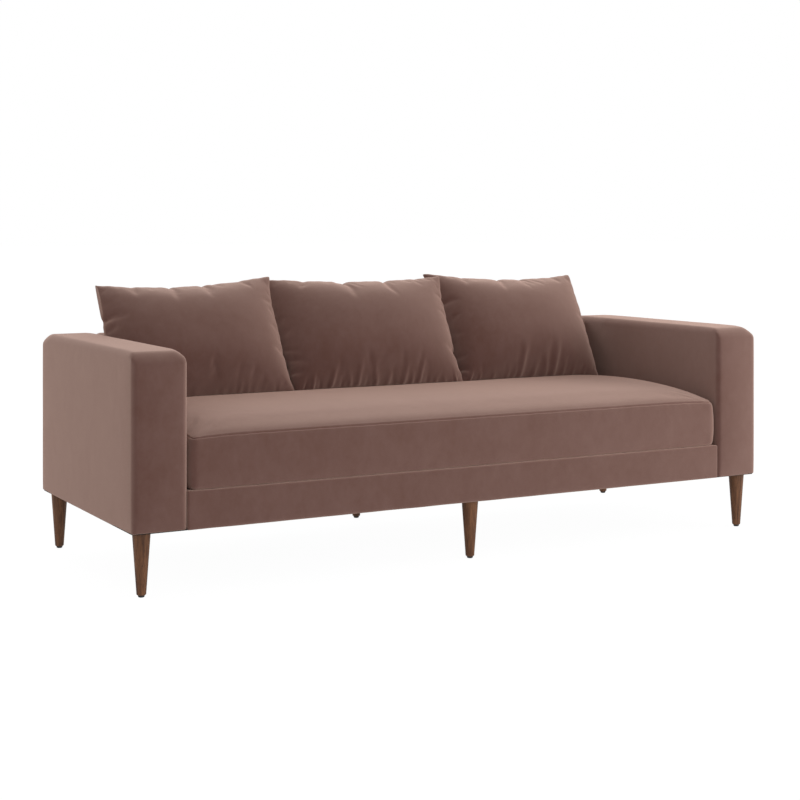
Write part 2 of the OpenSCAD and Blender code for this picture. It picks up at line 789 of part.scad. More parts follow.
left_arm_front_post();
left_arm_rear_post();
left_arm_top_rail();
left_arm_bottom_rail();
left_arm_panels();
left_arm_foam();
left_arm_cover();
right_arm_front_post();
right_arm_rear_post();
right_arm_top_rail();
right_arm_bottom_rail();
right_arm_panels();
right_arm_foam();
right_arm_cover();
back_top_rail();
back_bottom_rail();
back_upright_1();
back_upright_2();
back_upright_3();
back_upright_4();
back_panels();
back_foam();
back_cover();
outside_back_cover();
seat_front_rail();
seat_rear_rail();
seat_left_rail();
seat_right_rail();
seat_centre_rail();
leg_block();
seat_springs();
spring_clips();
deck_pad();
deck_cloth();
front_rail_foam();
front_rail_cover();
dust_cloth();
front_left_leg();
front_centre_leg();
front_right_leg();
rear_left_leg();
rear_centre_leg();
rear_right_leg();
hanger_bolts();
tee_nuts();
leg_glides();
frame_bolts();
frame_washers();
seat_cushion_core();
seat_cushion_cover();
seat_cushion_zip();
left_pillow_insert();
left_pillow_cover();
centre_pillow_insert();
centre_pillow_cover();
right_pillow_insert();
right_pillow_cover();
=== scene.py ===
import json
from math import pi, radians, sin

import bpy
import numpy as np
from mathutils import Matrix, Vector, noise
from mathutils.bvhtree import BVHTree


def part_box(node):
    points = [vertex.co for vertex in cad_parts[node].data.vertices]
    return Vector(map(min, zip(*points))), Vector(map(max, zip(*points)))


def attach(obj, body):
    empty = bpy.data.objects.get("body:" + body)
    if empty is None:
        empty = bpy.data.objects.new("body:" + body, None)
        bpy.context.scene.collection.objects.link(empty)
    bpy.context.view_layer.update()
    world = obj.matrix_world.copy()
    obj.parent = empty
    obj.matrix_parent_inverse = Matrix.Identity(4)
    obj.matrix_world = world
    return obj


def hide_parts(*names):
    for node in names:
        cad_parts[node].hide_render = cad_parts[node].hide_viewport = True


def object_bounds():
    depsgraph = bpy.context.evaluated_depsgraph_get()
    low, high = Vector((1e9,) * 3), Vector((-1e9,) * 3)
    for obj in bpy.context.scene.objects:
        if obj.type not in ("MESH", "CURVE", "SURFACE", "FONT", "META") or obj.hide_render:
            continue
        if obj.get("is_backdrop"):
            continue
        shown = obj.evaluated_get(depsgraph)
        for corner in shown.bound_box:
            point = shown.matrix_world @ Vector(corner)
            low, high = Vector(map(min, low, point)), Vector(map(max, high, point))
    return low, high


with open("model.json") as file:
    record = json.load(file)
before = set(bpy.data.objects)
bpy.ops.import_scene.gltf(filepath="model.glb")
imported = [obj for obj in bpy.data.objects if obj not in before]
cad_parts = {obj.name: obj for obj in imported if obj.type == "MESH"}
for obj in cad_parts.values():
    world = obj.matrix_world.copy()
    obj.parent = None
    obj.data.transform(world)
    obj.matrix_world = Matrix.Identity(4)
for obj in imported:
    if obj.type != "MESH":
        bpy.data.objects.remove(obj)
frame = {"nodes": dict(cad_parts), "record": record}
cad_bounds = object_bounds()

# Three-seat velvet sofa. Metres, in the row's own frame: the origin is on the floor under the
# sofa's centre, the front faces -Y and +Z is up.

MM = 0.001

# --- Places and sizes ------------------------------------------------------------------------

# The frame's boxes give every piece its place
ARM_BOX = {side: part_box(side + "_arm_cover") for side in ("left", "right")}
BACK_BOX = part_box("back_cover")
OUTSIDE_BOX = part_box("outside_back_cover")
RAIL_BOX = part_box("front_rail_cover")
PAD_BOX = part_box("deck_pad")
DECK_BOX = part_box("deck_cloth")
DUST_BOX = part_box("dust_cloth")
SEAT_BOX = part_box("seat_cushion_cover")

GRID_STEP = 12 * MM
ARC_STEPS = 7
# Reach of a padded block's bottom edges inwards and up
FOOT_ROUND = (0.8 * MM, 6 * MM)
# The velvet is turned under the frame's outline, which hides the dust cloth's edge
FOOT_LIP = 1.6 * MM
UPRIGHT_ROUND = 10 * MM
# Radii of an arm's long top edges at its rear, along it and at its front, on the left and right.
# The photograph shows the right-hand edges rounder on both arms
ARM_LONG_ROUNDS = ((34 * MM, 16 * MM, 13 * MM), (30 * MM, 24 * MM, 37 * MM))
# The radii change from those along the arm to those at its ends over this reach
ARM_END_REACH = 90 * MM
# Radii of its short top edges, front and rear, and of its front upright edge on the right
ARM_SHORT_ROUNDS = (34 * MM, 30 * MM)
ARM_RIGHT_UPRIGHT = 15 * MM
# How much rounder the right arm's outer edge is at its front, and how far its outside stands out
RIGHT_ARM_ROUNDER = 11 * MM
RIGHT_ARM_FULLER = 2 * MM
# How far the padding swells its sides, its front and rear, and its top, and the front's belly
ARM_SWELL = (3 * MM, 2 * MM, 3.5 * MM)
ARM_FRONT_BELLY = 6 * MM
BACK_SHORT_ROUND = 24 * MM
BACK_SWELL = (0, 0.6 * MM, 0)
BACK_RIPPLE = 0.4 * MM
RAIL_ROUND = 5 * MM
RAIL_SWELL = (0, 2.5 * MM, 0)
RAIL_RIPPLE = 0.7 * MM
RAIL_WAVE = 90 * MM
# The outside back panel: radii of its side edges and of its top and bottom ones, how far it stands
# out beyond its solid, and how far it bulges and ripples
PANEL_ROUND = 1.5 * MM
PANEL_EDGE = 1.2 * MM
PANEL_OUT = 1.6 * MM
PANEL_BULGE = 1.6 * MM
PANEL_RIPPLE = 0.5 * MM
PANEL_WAVE = 150 * MM

# Radii of the deck pad's upright, top and bottom edges. The cloth over it shows the springs
PAD_UPRIGHT = 4 * MM
PAD_TOP = 3 * MM
PAD_FOOT = 2 * MM
DECK_STEP = 14 * MM
DECK_CLOTH_T = 0.9 * MM
DECK_TURN = 3 * MM
DECK_EDGE_DROP = 1 * MM
SPRING_PITCH = 190 * MM
SPRING_RIPPLE = 0.35 * MM

# Dust cloth: it sags between the legs and the edges, is turned in by its hem, puckers beside it
# and is stapled along it
DUST_STEP = 13 * MM
DUST_CLOTH_T = 0.8 * MM
DUST_HEM = 14 * MM
DUST_HEM_T = 0.5 * MM
DUST_SAG = 3 * MM
DUST_SAG_REACH = 120 * MM
LEG_CLEAR = 34 * MM
LEG_REACH = 90 * MM
PUCKER = 0.6 * MM
PUCKER_PITCH = 31 * MM
PUCKER_AT = 26 * MM
PUCKER_REACH = 16 * MM
STAPLE_PITCH = 62 * MM
STAPLE_WIRE = 0.45 * MM
STAPLE_REACH = 5.5 * MM
STAPLE_LEG = 1.2 * MM
STAPLE_DROP = 0.8 * MM

# Seat cushion. Swell, crown and seam height are its solid's
SEAT_SWELL = 4 * MM
SEAT_CROWN = 48 * MM
SEAT_SEAM_H = 147 * MM
# Its velvet follows the photograph, in which the top seam runs this much lower under the same
# crown, and the ends are this much nearer to the arms
SEAT_SEAM_DROP = 5.5 * MM
SEAT_WIDER = 2 * MM
SEAT_SEAM_WAVE = 0.7 * MM
SEAT_END_SWELL = 4 * MM
SEAT_CORNER = 20 * MM
SEAT_CORNER_DROP = 5 * MM
SEAT_BOTTOM_ROUND = 16 * MM
SEAT_BOTTOM_INSET = 5 * MM
# The boxing rolls in under the top seam: height, then inset at the ends and at the front and rear
SEAT_SHOULDER = (20 * MM, 1.5 * MM, 4.5 * MM)
# Depths below the seam at which the boxing has extra rows, in mm
SHOULDER_ROWS_MM = (15, 11, 7.5, 4.5, 2.2, 0.8)
SEAM_GROOVE = 2.5 * MM
SEAT_CELLS = (150, 60)
SEAT_PULL = (0.5, 0.6)
SEAT_RIPPLE = 0.8 * MM
SEAT_WAVE = 190 * MM
# How far the filling may push out the top and the boxing, and its pressure
SEAT_CAPS = (2.5 * MM, 1.5 * MM)
SEAT_PRESSURE = 2.0
# Creases fan out around each top corner: height on the left and right, the fan's centre in from
# the corner, folds in a whole turn, their phase from corner to corner, their twist and reach
CREASE_RISE = (0.3 * MM, 0.9 * MM)
CREASE_CENTRE = 12 * MM
CREASE_FOLDS = 19
CREASE_PHASE = 1.7
CREASE_TWIST = 60 * MM
CREASE_AT = 75 * MM
CREASE_REACH = 48 * MM
SEAT_CENTRE_Y = (SEAT_BOX[0].y + SEAT_BOX[1].y) / 2
SEAT_HALF_W = SEAT_BOX[1].x - SEAT_SWELL + SEAT_WIDER
SEAT_HALF_D = (SEAT_BOX[1].y - SEAT_BOX[0].y) / 2 - SEAT_SWELL
SEAT_Z = SEAT_BOX[0].z

# Back pillows from left to right, formed and stood like their solids but for some shares
PILLOW_NAMES = ("left", "centre", "right")
BACK_FACE_Y = BACK_BOX[0].y
BAY_HALF_W = -ARM_BOX["left"][1].x
PILLOW_W = 604 * MM
PILLOW_H = 406 * MM
PILLOW_FRONT = 108 * MM
PILLOW_REAR = 27 * MM
# How far the seams are drawn in between the ears, and the sides once more towards the foot
TOP_DRAW = 22 * MM
SIDE_DRAW = 18 * MM
BOTTOM_DRAW = 4 * MM
FOOT_DRAW = 12 * MM
# Each pillow's shares of those draws at its left and right side, and its share of the width. The
# centre one's left side and the left one's width follow the photograph more closely than the solids
PILLOW_SIDE = ((1, 1), (-0.7, 1.1), (1, 0.6))
PILLOW_FOOT = ((1.3, 1), (2.1, 1), (2.2, 1))
PILLOW_SPREAD = (1.02, 1.065, 1)
# Where each stands: its foot's distance from the back and its lean in degrees, then across as a
# share of the bay's half width, forward as a share of its own front, sunk as a share of the seat's
# crown, and its roll and turn in degrees
FOOT_SETBACK = 149 * MM
PILLOW_LIFT = 3 * MM
PILLOW_LEAN = 32
PILLOW_X = (-0.6808, -0.0215, 0.618)
PILLOW_FORWARD = (0, 0.05, -0.035)
PILLOW_SINK = (0.0885, -0.013, 0.056)
PILLOW_ROLL = (1.95, -0.5, -1.24)
PILLOW_YAW = (-2, -4, -2.3)
# The crown's profile: how low the belly hangs, how blunt it is at the seams and how full
BELLY_DROP = 0.12
EDGE_POWER = 2.4
CROWN_POWER = 0.62

# What the velvet has beyond the solids: fuller corners, round ears and wandering seams
CORNER_FILL = 0.2
EAR_ROUND = 9 * MM
SEAM_WAVE = 1.2 * MM
# How far each pillow's top ears stand off their solid's, left and right: across and up in mm
EARS = (((-1, 5), (2, 6)), ((0, -9), (-4, 0)), ((-6, 6), (-10, 4)))
PILLOW_CELLS = (110, 76)
# How far the filling may push out the front and the rear, and the cloth's slack
PILLOW_CAPS = (5 * MM, 0.8 * MM)
PILLOW_SLACK = 0.02

# Where each pillow's cloth is gathered: the seam, the place along it from -1 to 1, then in mm the
# reach from the seam, the sideways lean over that reach, the half width and the height. A fold
# has a height below nought, a ridge one above it.
GATHERS = (
    (("top", -0.175, 62, 8, 8, -6), ("top", -0.1, 34, 6, 7, -3), ("top", 0.175, 66, 18, 9, -6),
     ("top", 0.3, 40, 14, 8, -3), ("top", -0.55, 45, -8, 11, -2.4),
     ("top", 0.62, 38, 8, 10, -2.4), ("left", 0.36, 56, -14, 10, -7.2),
     ("left", 0.14, 40, 4, 10, -3.6), ("left", -0.3, 46, 6, 12, -3.6),
     ("right", 0.32, 30, 4, 12, -2.4), ("right", -0.4, 34, 6, 12, -3),
     ("bottom", -0.62, 44, 0, 9, 2.4), ("bottom", -0.38, 38, 6, 8, 2.4),
     ("bottom", -0.16, 32, -4, 8, 2.1), ("bottom", 0.045, 26, 3, 7, 2.4),
     ("bottom", 0.14, 24, 0, 6, 1.8), ("bottom", 0.235, 34, 3, 7, 2.7),
     ("bottom", 0.32, 52, 5, 8, 3.3), ("bottom", 0.405, 38, 5, 7, 3),
     ("bottom", 0.49, 34, 6, 7, 2.7), ("bottom", 0.6, 26, 4, 7, 2.4),
     ("bottom", 0.76, 34, -8, 9, -2.4)),
    (("top", -0.215, 104, 22, 9, -9.6), ("top", -0.19, 84, 48, 8, -4.8),
     ("top", -0.26, 50, -10, 10, -3.6), ("top", 0.27, 92, -8, 9, -6), ("top", 0.31, 50, 8, 8, -3),
     ("top", -0.62, 40, -8, 12, -2.4), ("top", 0.66, 38, 6, 10, -2.4),
     ("left", -0.36, 54, -26, 9, -4.8), ("left", -0.52, 70, -30, 9, -6.6),
     ("left", -0.72, 62, -12, 9, -7.2), ("right", -0.47, 44, 16, 10, -7.8),
     ("right", 0.35, 46, -8, 12, -3.6), ("bottom", -0.9, 44, 26, 7, -6.5),
     ("bottom", -0.81, 50, 18, 7, 7.5), ("bottom", -0.72, 34, 4, 6, -5),
     ("bottom", -0.6, 66, 30, 9, 8), ("bottom", -0.47, 36, 8, 6, -5),
     ("bottom", -0.36, 46, -14, 7, 6.5), ("bottom", -0.29, 72, 14, 8, 7.5),
     ("bottom", -0.17, 34, -6, 6, -5), ("bottom", -0.07, 62, -16, 8, 8),
     ("bottom", 0.04, 34, 10, 6, 5), ("bottom", 0.12, 50, -10, 7, -6),
     ("bottom", 0.225, 64, 12, 9, 7.5), ("bottom", 0.33, 48, -8, 6, 6),
     ("bottom", 0.4, 74, 18, 7, 8), ("bottom", 0.5, 40, 2, 6, -5),
     ("bottom", 0.6, 30, 10, 7, 4.5), ("bottom", 0.73, 28, -8, 7, 4),
     ("bottom", 0.88, 46, -10, 7, 7)),
    (("top", -0.11, 66, 2, 8, -6), ("top", 0.19, 70, 34, 8, -6), ("top", 0.25, 56, 44, 7, -3.6),
     ("top", -0.55, 40, -6, 11, -2.4), ("top", 0.66, 36, 6, 10, -2.4),
     ("left", 0.345, 46, 6, 8, -6.6), ("left", 0.3, 30, -8, 8, -3.6),
     ("left", -0.78, 64, -16, 9, -7.2), ("left", -0.6, 44, -10, 9, -3.6),
     ("right", 0.1, 34, 4, 14, -2.4), ("right", -0.45, 30, 4, 12, -2.4),
     ("bottom", -0.86, 42, 16, 7.2, 6.2), ("bottom", -0.72, 28, 6, 6.3, 4.4),
     ("bottom", -0.52, 26, 0, 6.3, 3.8), ("bottom", -0.335, 32, 4, 7, 5),
     ("bottom", -0.25, 42, 12, 7, 6), ("bottom", -0.17, 138, 30, 15, 6.5),
     ("bottom", 0.0, 52, 20, 8, 6), ("bottom", 0.1, 36, -6, 7, -4),
     ("bottom", 0.18, 80, -10, 11, 5), ("bottom", 0.27, 150, 26, 16, 7),
     ("bottom", 0.4, 44, 12, 8, 5.5), ("bottom", 0.55, 34, 4, 7.2, 4.4),
     ("bottom", 0.72, 28, 0, 7.2, 3.8)),
)
# Where a side seam is drawn in by a crease: side, place from -1 to 1, depth and half width in mm
PINCHES = (
    ((-1, 0.36, 9, 16), (-1, -0.2, 5, 18), (1, 0.46, 4, 10), (1, -0.42, 3, 16)),
    ((1, -0.50, 8, 13), (1, -0.8, -4, 12), (-1, -0.6, 8, 22), (1, 0.5, 5, 11), (1, 0.1, 2, 16)),
    ((-1, 0.34, 4, 12), (-1, -0.8, 6, 18), (1, -0.2, 2, 16)),
)
# Where the top seam dips between the puffs beside it: place from -1 to 1, then depth and half
# width in mm
NOTCHES = (
    ((-0.175, 7, 14), (0.175, 6, 13), (-0.6, 2, 20), (0.55, 2, 20)),
    ((-0.215, 13, 17), (0.27, 8, 13), (-0.62, 3, 22), (0.68, 3, 20)),
    ((-0.11, 7, 14), (0.19, 6, 13), (-0.55, 3, 20), (0.66, 3, 20)),
)
# Reach into the pillow of a pinch, a notch and the seams' wandering, and the gathers' greatest
# height on the rear
PINCH_REACH = 70 * MM
NOTCH_REACH = 60 * MM
WANDER_REACH = 40 * MM
REAR_GATHER = 0.4 * MM
# The filling pushes the cover out fully from this far off the seams
FILL_REACH = 70 * MM
# A pillow's foot sags this much onto the seat, from the first millimetres above it and less with
# height. It stays this far off the cushion, and the whole pillow this far off the arms' solids
FOOT_SAG = 20 * MM
SAG_START = 6 * MM
SAG_REACH = 90 * MM
SAG_TOP = 200 * MM
SEAT_GAP = 0.8 * MM
SEAT_GAP_FADE = 4 * MM
ARM_GAP = 4 * MM

# Frames for which the cloth simulation of the filling runs
FILL_FRAMES = 20

# Camera and light
CAMERA_AT = (-2.474, -4.412, 1.000)
CAMERA_YAW = -28.94
CAMERA_LENS = 71.56
CAMERA_SHIFT = -0.2225
SENSOR_W = 36
DOME_COLOUR = (1, 0.98, 0.98, 1)
DOME_STRENGTH = 0.45
# Each softbox's name, place, size, watts and colour
LAMP_TARGET = (0, 0, 0.45)
LAMPS = (
    ("front_softbox", (0.5, -4.5, 0.9), (4.0, 1.6), 29, (0.98, 1, 1.02)),
    ("right_softbox", (3.2, -1.8, 1.2), (1.6, 1.6), 31, (1, 1, 1)),
    ("rear_softbox", (0.3, 3.5, 2.6), (4.0, 2.0), 66, (0.93, 1, 1.05)),
)
# The floor glows a little for every ray and more for the camera, which sees it white
FLOOR_COLOUR = (0.86, 0.86, 0.86, 1)
FLOOR_GLOW = 1.08
GLOW_SHARE = 0.2
SEEN_SHARE = 0.7


# --- Materials -------------------------------------------------------------------------------

class Nodes:
    """A material's nodes, added and linked by name."""

    def __init__(self, name):
        self.material = bpy.data.materials.new(name)
        self.material.use_nodes = True
        self.tree = self.material.node_tree
        self.shader = self.tree.nodes["Principled BSDF"]
        self.output = self.tree.nodes["Material Output"]
        self.where = self.add("ShaderNodeTexCoord").outputs["Object"]

    def feed(self, socket, value):
        """Links a socket to another one or gives it a value."""
        if isinstance(value, bpy.types.NodeSocket):
            self.tree.links.new(value, socket)
        else:
            socket.default_value = value

    def add(self, kind, inputs=(), **settings):
        node = self.tree.nodes.new(kind)
        for key, value in settings.items():
            setattr(node, key, value)
        for key, value in dict(inputs).items():
            self.feed(node.inputs[key], value)
        return node

    def stretched(self, scale):
        node = self.add("ShaderNodeMapping", {"Vector": self.where, "Scale": scale})
        return node.outputs["Vector"]

    def noise(self, scale, detail=3.0, rough=0.55, where=None, distortion=0.0):
        return self.add("ShaderNodeTexNoise", {"Vector": where or self.where, "Scale": scale,
            "Detail": detail, "Roughness": rough, "Distortion": distortion}).outputs["Fac"]

    def ramp(self, factor, low, high, low_at=0.0, high_at=1.0):
        node = self.add("ShaderNodeValToRGB", {"Fac": factor})
        ends = node.color_ramp.elements
        ends[0].position, ends[1].position = low_at, high_at
        ends[0].color, ends[1].color = rgba(low), rgba(high)
        return node.outputs["Color"]

    def mix(self, factor, a, b):
        node = self.add("ShaderNodeMix", data_type="RGBA")
        for index, value in zip((0, 6, 7), (factor, a, b)):
            self.feed(node.inputs[index], rgba(value) if isinstance(value, tuple) else value)
        return node.outputs[2]

    def math(self, kind, a, b):
        node = self.add("ShaderNodeMath", operation=kind)
        for socket, value in zip(node.inputs, (a, b)):
            self.feed(socket, value)
        return node.outputs[0]

    def bump(self, height, distance, strength=1.0, normal=None):
        inputs = {"Height": height, "Distance": distance, "Strength": strength}
        if normal:
            inputs["Normal"] = normal
        return self.add("ShaderNodeBump", inputs).outputs["Normal"]

    def finish(self, linked=(), **values):
        for key, value in dict(linked).items():
            self.tree.links.new(value, self.shader.inputs[key])
        for key, value in values.items():
            self.shader.inputs[key.replace("_", " ")].default_value = value
        return self.material


def rgba(colour):
    return (*colour[:3], 1.0)


VELVET_DEEP = (0.068, 0.0110, 0.0060)
VELVET_PALE = (0.104, 0.0395, 0.0335)
SHEEN_TINT = (1.0, 0.695, 0.58, 1.0)


def velvet_material():
    n = Nodes("velvet")
    patches = n.noise(7.0, 2.0, 0.5, distortion=0.4)
    mottles = n.noise(1.0, 5.0, 0.72, where=n.stretched((30, 30, 20)), distortion=0.3)
    nap = n.noise(1500.0, 2.0, 0.7)
    brushed = n.math("ADD", n.math("MULTIPLY", patches, 0.35), n.math("MULTIPLY", mottles, 0.65))
    tone = n.math("ADD", n.math("MULTIPLY", brushed, 0.82), n.math("MULTIPLY", nap, 0.18))
    colour = n.ramp(tone, VELVET_DEEP, VELVET_PALE, 0.36, 0.64)
    fine = n.bump(nap, 0.4 * MM, 0.5)
    brush = n.bump(patches, 4.0 * MM, 0.4, normal=fine)
    normal = n.bump(n.noise(160.0, 2.0, 0.5), 0.5 * MM, 0.15, normal=brush)
    return n.finish({"Base Color": colour, "Normal": normal}, Roughness=0.9, Sheen_Weight=1.0,
        Sheen_Roughness=0.7, Sheen_Tint=SHEEN_TINT, Specular_IOR_Level=0.15)


def walnut_material():
    n = Nodes("leg_wood")
    grain = n.noise(1.0, 5.0, 0.65, where=n.stretched((150, 150, 9)), distortion=0.8)
    figure = n.noise(1.0, 2.0, 0.5, where=n.stretched((40, 40, 6)), distortion=1.4)
    pores = n.noise(1.0, 2.0, 0.6, where=n.stretched((900, 900, 30)))
    wood = n.ramp(n.math("ADD", n.math("MULTIPLY", grain, 0.6), n.math("MULTIPLY", figure, 0.4)),
        (0.075, 0.026, 0.010), (0.290, 0.125, 0.052), 0.35, 0.66)
    colour = n.mix(n.ramp(pores, (0, 0, 0), (1, 1, 1), 0.58, 0.72), wood, (0.040, 0.014, 0.006))
    return n.finish({"Base Color": colour, "Normal": n.bump(pores, 0.15 * MM, 0.4)},
        Roughness=0.5, Coat_Weight=0.08, Coat_Roughness=0.35, Specular_IOR_Level=0.35)


def plain_material(name, low, high, scale, rough, bump_mm=0.1, metallic=0.0, stretch=(1, 1, 1)):
    n = Nodes(name)
    spots = n.noise(scale, 3.0, 0.6, where=n.stretched(stretch))
    return n.finish({"Base Color": n.ramp(spots, low, high, 0.3, 0.7),
        "Normal": n.bump(spots, bump_mm * MM, 0.6)}, Roughness=rough, Metallic=metallic)


def woven_material(name, low, high, thread):
    """A plain weave of threads that far apart."""
    n = Nodes(name)
    scale = 1 / thread
    waves = [n.add("ShaderNodeTexWave", {"Vector": n.where, "Scale": scale, "Distortion": 0.4,
        "Detail": 1.0, "Detail Scale": 2.0}, bands_direction=axis).outputs["Fac"] for axis in "XY"]
    weave = n.math("MULTIPLY", waves[0], waves[1])
    worn = n.math("ADD", n.math("MULTIPLY", weave, 0.6), n.math("MULTIPLY", n.noise(30.0), 0.4))
    return n.finish({"Base Color": n.ramp(worn, low, high, 0.1, 0.7),
        "Normal": n.bump(weave, 0.2 * MM, 0.8)}, Roughness=0.9)


# Each cloth's darker and paler colour and the distance of its threads
WOVEN = {
    "deck_cloth": ((0.012, 0.010, 0.009), (0.05, 0.042, 0.038), 0.9 * MM),
    "dust_cloth": ((0.004, 0.004, 0.004), (0.022, 0.022, 0.022), 1.2 * MM),
}
# Each plain material's darker and paler colour, scale of its spots and roughness, then as far as
# it needs them the spots' height in mm, whether it is metal, and how much it is stretched
PLAIN = {
    "fibre_fill": ((0.72, 0.71, 0.68), (0.86, 0.85, 0.82), 220, 0.95, 0.6),
    "foam": ((0.62, 0.52, 0.26), (0.80, 0.70, 0.40), 420, 0.9, 0.5),
    "zip": ((0.05, 0.03, 0.027), (0.09, 0.055, 0.048), 600, 0.6),
    "panel_board": ((0.38, 0.24, 0.12), (0.55, 0.38, 0.21), 1.0, 0.75, 0.2, 0.0, (12, 12, 160)),
    "frame_wood": ((0.48, 0.32, 0.16), (0.68, 0.50, 0.29), 1.0, 0.7, 0.2, 0.0, (9, 120, 120)),
    "glide": ((0.010, 0.010, 0.010), (0.028, 0.027, 0.026), 300, 0.45, 0.05),
    "hardware_steel": ((0.45, 0.45, 0.46), (0.66, 0.66, 0.68), 240, 0.35, 0.03, 1.0),
    "spring_steel": ((0.08, 0.08, 0.085), (0.20, 0.20, 0.21), 260, 0.4, 0.03, 1.0),
    "staple_steel": ((0.40, 0.40, 0.42), (0.60, 0.60, 0.62), 500, 0.35, 0.02, 1.0),
}


def make_materials():
    made = {"velvet": velvet_material(), "leg_wood": walnut_material()}
    made.update((name, woven_material(name, *looks)) for name, looks in WOVEN.items())
    made.update((name, plain_material(name, *looks)) for name, looks in PLAIN.items())
    return made


materials = make_materials()
for part in frame["record"]["subparts"]:
    shell = frame["nodes"][part["node"]].data
    shell.materials.clear()
    shell.materials.append(materials[part["material_slot"]])


# --- Mesh helpers ----------------------------------------------------------------------------

def add_piece(name, points, faces, slot, body, *replaced):
    """A smooth mesh piece with its material, body and the nodes that it stands for."""
    mesh = bpy.data.meshes.new(name)
    mesh.from_pydata([tuple(p) for p in points], [], [tuple(int(i) for i in f) for f in faces])
    mesh.validate()
    mesh.polygons.foreach_set("use_smooth", [True] * len(mesh.polygons))
    mesh.update()
    piece = bpy.data.objects.new(name, mesh)
    bpy.context.scene.collection.objects.link(piece)
    mesh.materials.append(materials[slot])
    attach(piece, body)
    if replaced:
        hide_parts(*replaced)
    return piece


def grid_lines(low, high, round_low, round_high, step=GRID_STEP, arc=ARC_STEPS):
    """Grid lines from low to high, close together in the rounds at both ends."""
    flat_low, flat_high = low + round_low, high - round_high
    cells = max(1, round((flat_high - flat_low) / step))
    start = np.linspace(low, flat_low, arc + 1)[:-1]
    end = np.linspace(flat_high, high, arc + 1)[1:]
    return np.concatenate([start, np.linspace(flat_low, flat_high, cells + 1), end])


def quads(grid):
    """The quads of a grid of point numbers."""
    return np.stack([grid[:-1, :-1], grid[1:, :-1], grid[1:, 1:], grid[:-1, 1:]], -1).reshape(-1, 4)


def box_surface(xs, ys, zs):
    """Points and outward quads of a box's surface on the given grid lines."""
    axes = (xs, ys, zs)
    size = [len(a) for a in axes]
    number = -np.ones(size, int)
    count, points, faces = 0, [], []
    for axis in range(3):
        b, c = (axis + 1) % 3, (axis + 2) % 3
        for end in (0, size[axis] - 1):
            where = np.empty((size[b], size[c], 3), int)
            where[..., axis] = end
            where[..., b] = np.arange(size[b])[:, None]
            where[..., c] = np.arange(size[c])[None, :]
            flat = where.reshape(-1, 3)
            for i, j, k in flat[number[tuple(flat.T)] < 0]:
                number[i, j, k] = count
                points.append((xs[i], ys[j], zs[k]))
                count += 1
            side = quads(number[tuple(np.moveaxis(where, -1, 0))])
            faces.append(side[:, ::-1] if end == 0 else side)
    return np.array(points), np.concatenate(faces)


def round_edge(points, a, b, side_a, side_b, edge_a, edge_b, reach_a, reach_b):
    """Rounds the edge between side_a of axis a and side_b of axis b, over that reach along each.
    The end faces follow."""
    in_a = np.clip((side_a * points[:, a] - (edge_a - reach_a)) / reach_a, 0, 1)
    in_b = np.clip((side_b * points[:, b] - (edge_b - reach_b)) / reach_b, 0, 1)
    both = (in_a > 0) & (in_b > 0)
    new_a = side_a * (edge_a - reach_a + reach_a * in_a * np.sqrt(1 - in_b ** 2 / 2))
    new_b = side_b * (edge_b - reach_b + reach_b * in_b * np.sqrt(1 - in_a ** 2 / 2))
    points[both, a] = new_a[both]
    points[both, b] = new_b[both]


def rounded_plan(u, v, half_w, half_d, r):
    """Places from -1 to 1 laid out on a rectangle with round corners."""
    dx = np.maximum(0, (np.abs(u) * half_w - (half_w - r)) / r)
    dy = np.maximum(0, (np.abs(v) * half_d - (half_d - r)) / r)
    corner = (dx > 0) & (dy > 0)

    def laid_out(share, half, own, other):
        turned = half - r + r * own * np.sqrt(1 - np.minimum(other, 1) ** 2 / 2)
        return np.where(corner, np.sign(share) * turned, share * half)

    return laid_out(u, half_w, dx, dy), laid_out(v, half_d, dy, dx)


def rim_distance(x, y, low, high):
    """How far inside a box's outline each place is."""
    return np.minimum(np.minimum(x - low.x, high.x - x), np.minimum(y - low.y, high.y - y))


def smooth_step(t):
    t = np.clip(t, 0, 1)
    return t * t * (3 - 2 * t)


def soft_noise(points, wave, seed):
    """Smooth noise from about -1 to 1, with that wavelength."""
    shift = Vector((seed * 7.3, seed * 3.1, seed * 5.7))
    return np.array([noise.noise(Vector(p) / wave + shift) for p in points])


def normals_of(piece):
    out = np.empty(len(piece.data.vertices) * 3)
    piece.data.vertex_normals.foreach_get("vector", out)
    return out.reshape(-1, 3)


def points_of(piece):
    out = np.empty(len(piece.data.vertices) * 3)
    piece.data.vertices.foreach_get("co", out)
    return out.reshape(-1, 3)


def set_points(piece, points):
    piece.data.vertices.foreach_set("co", np.asarray(points, float).ravel())
    piece.data.update()


def push(piece, amount):
    """Moves each point out along its normal by its own amount."""
    set_points(piece, points_of(piece) + normals_of(piece) * np.asarray(amount)[:, None])


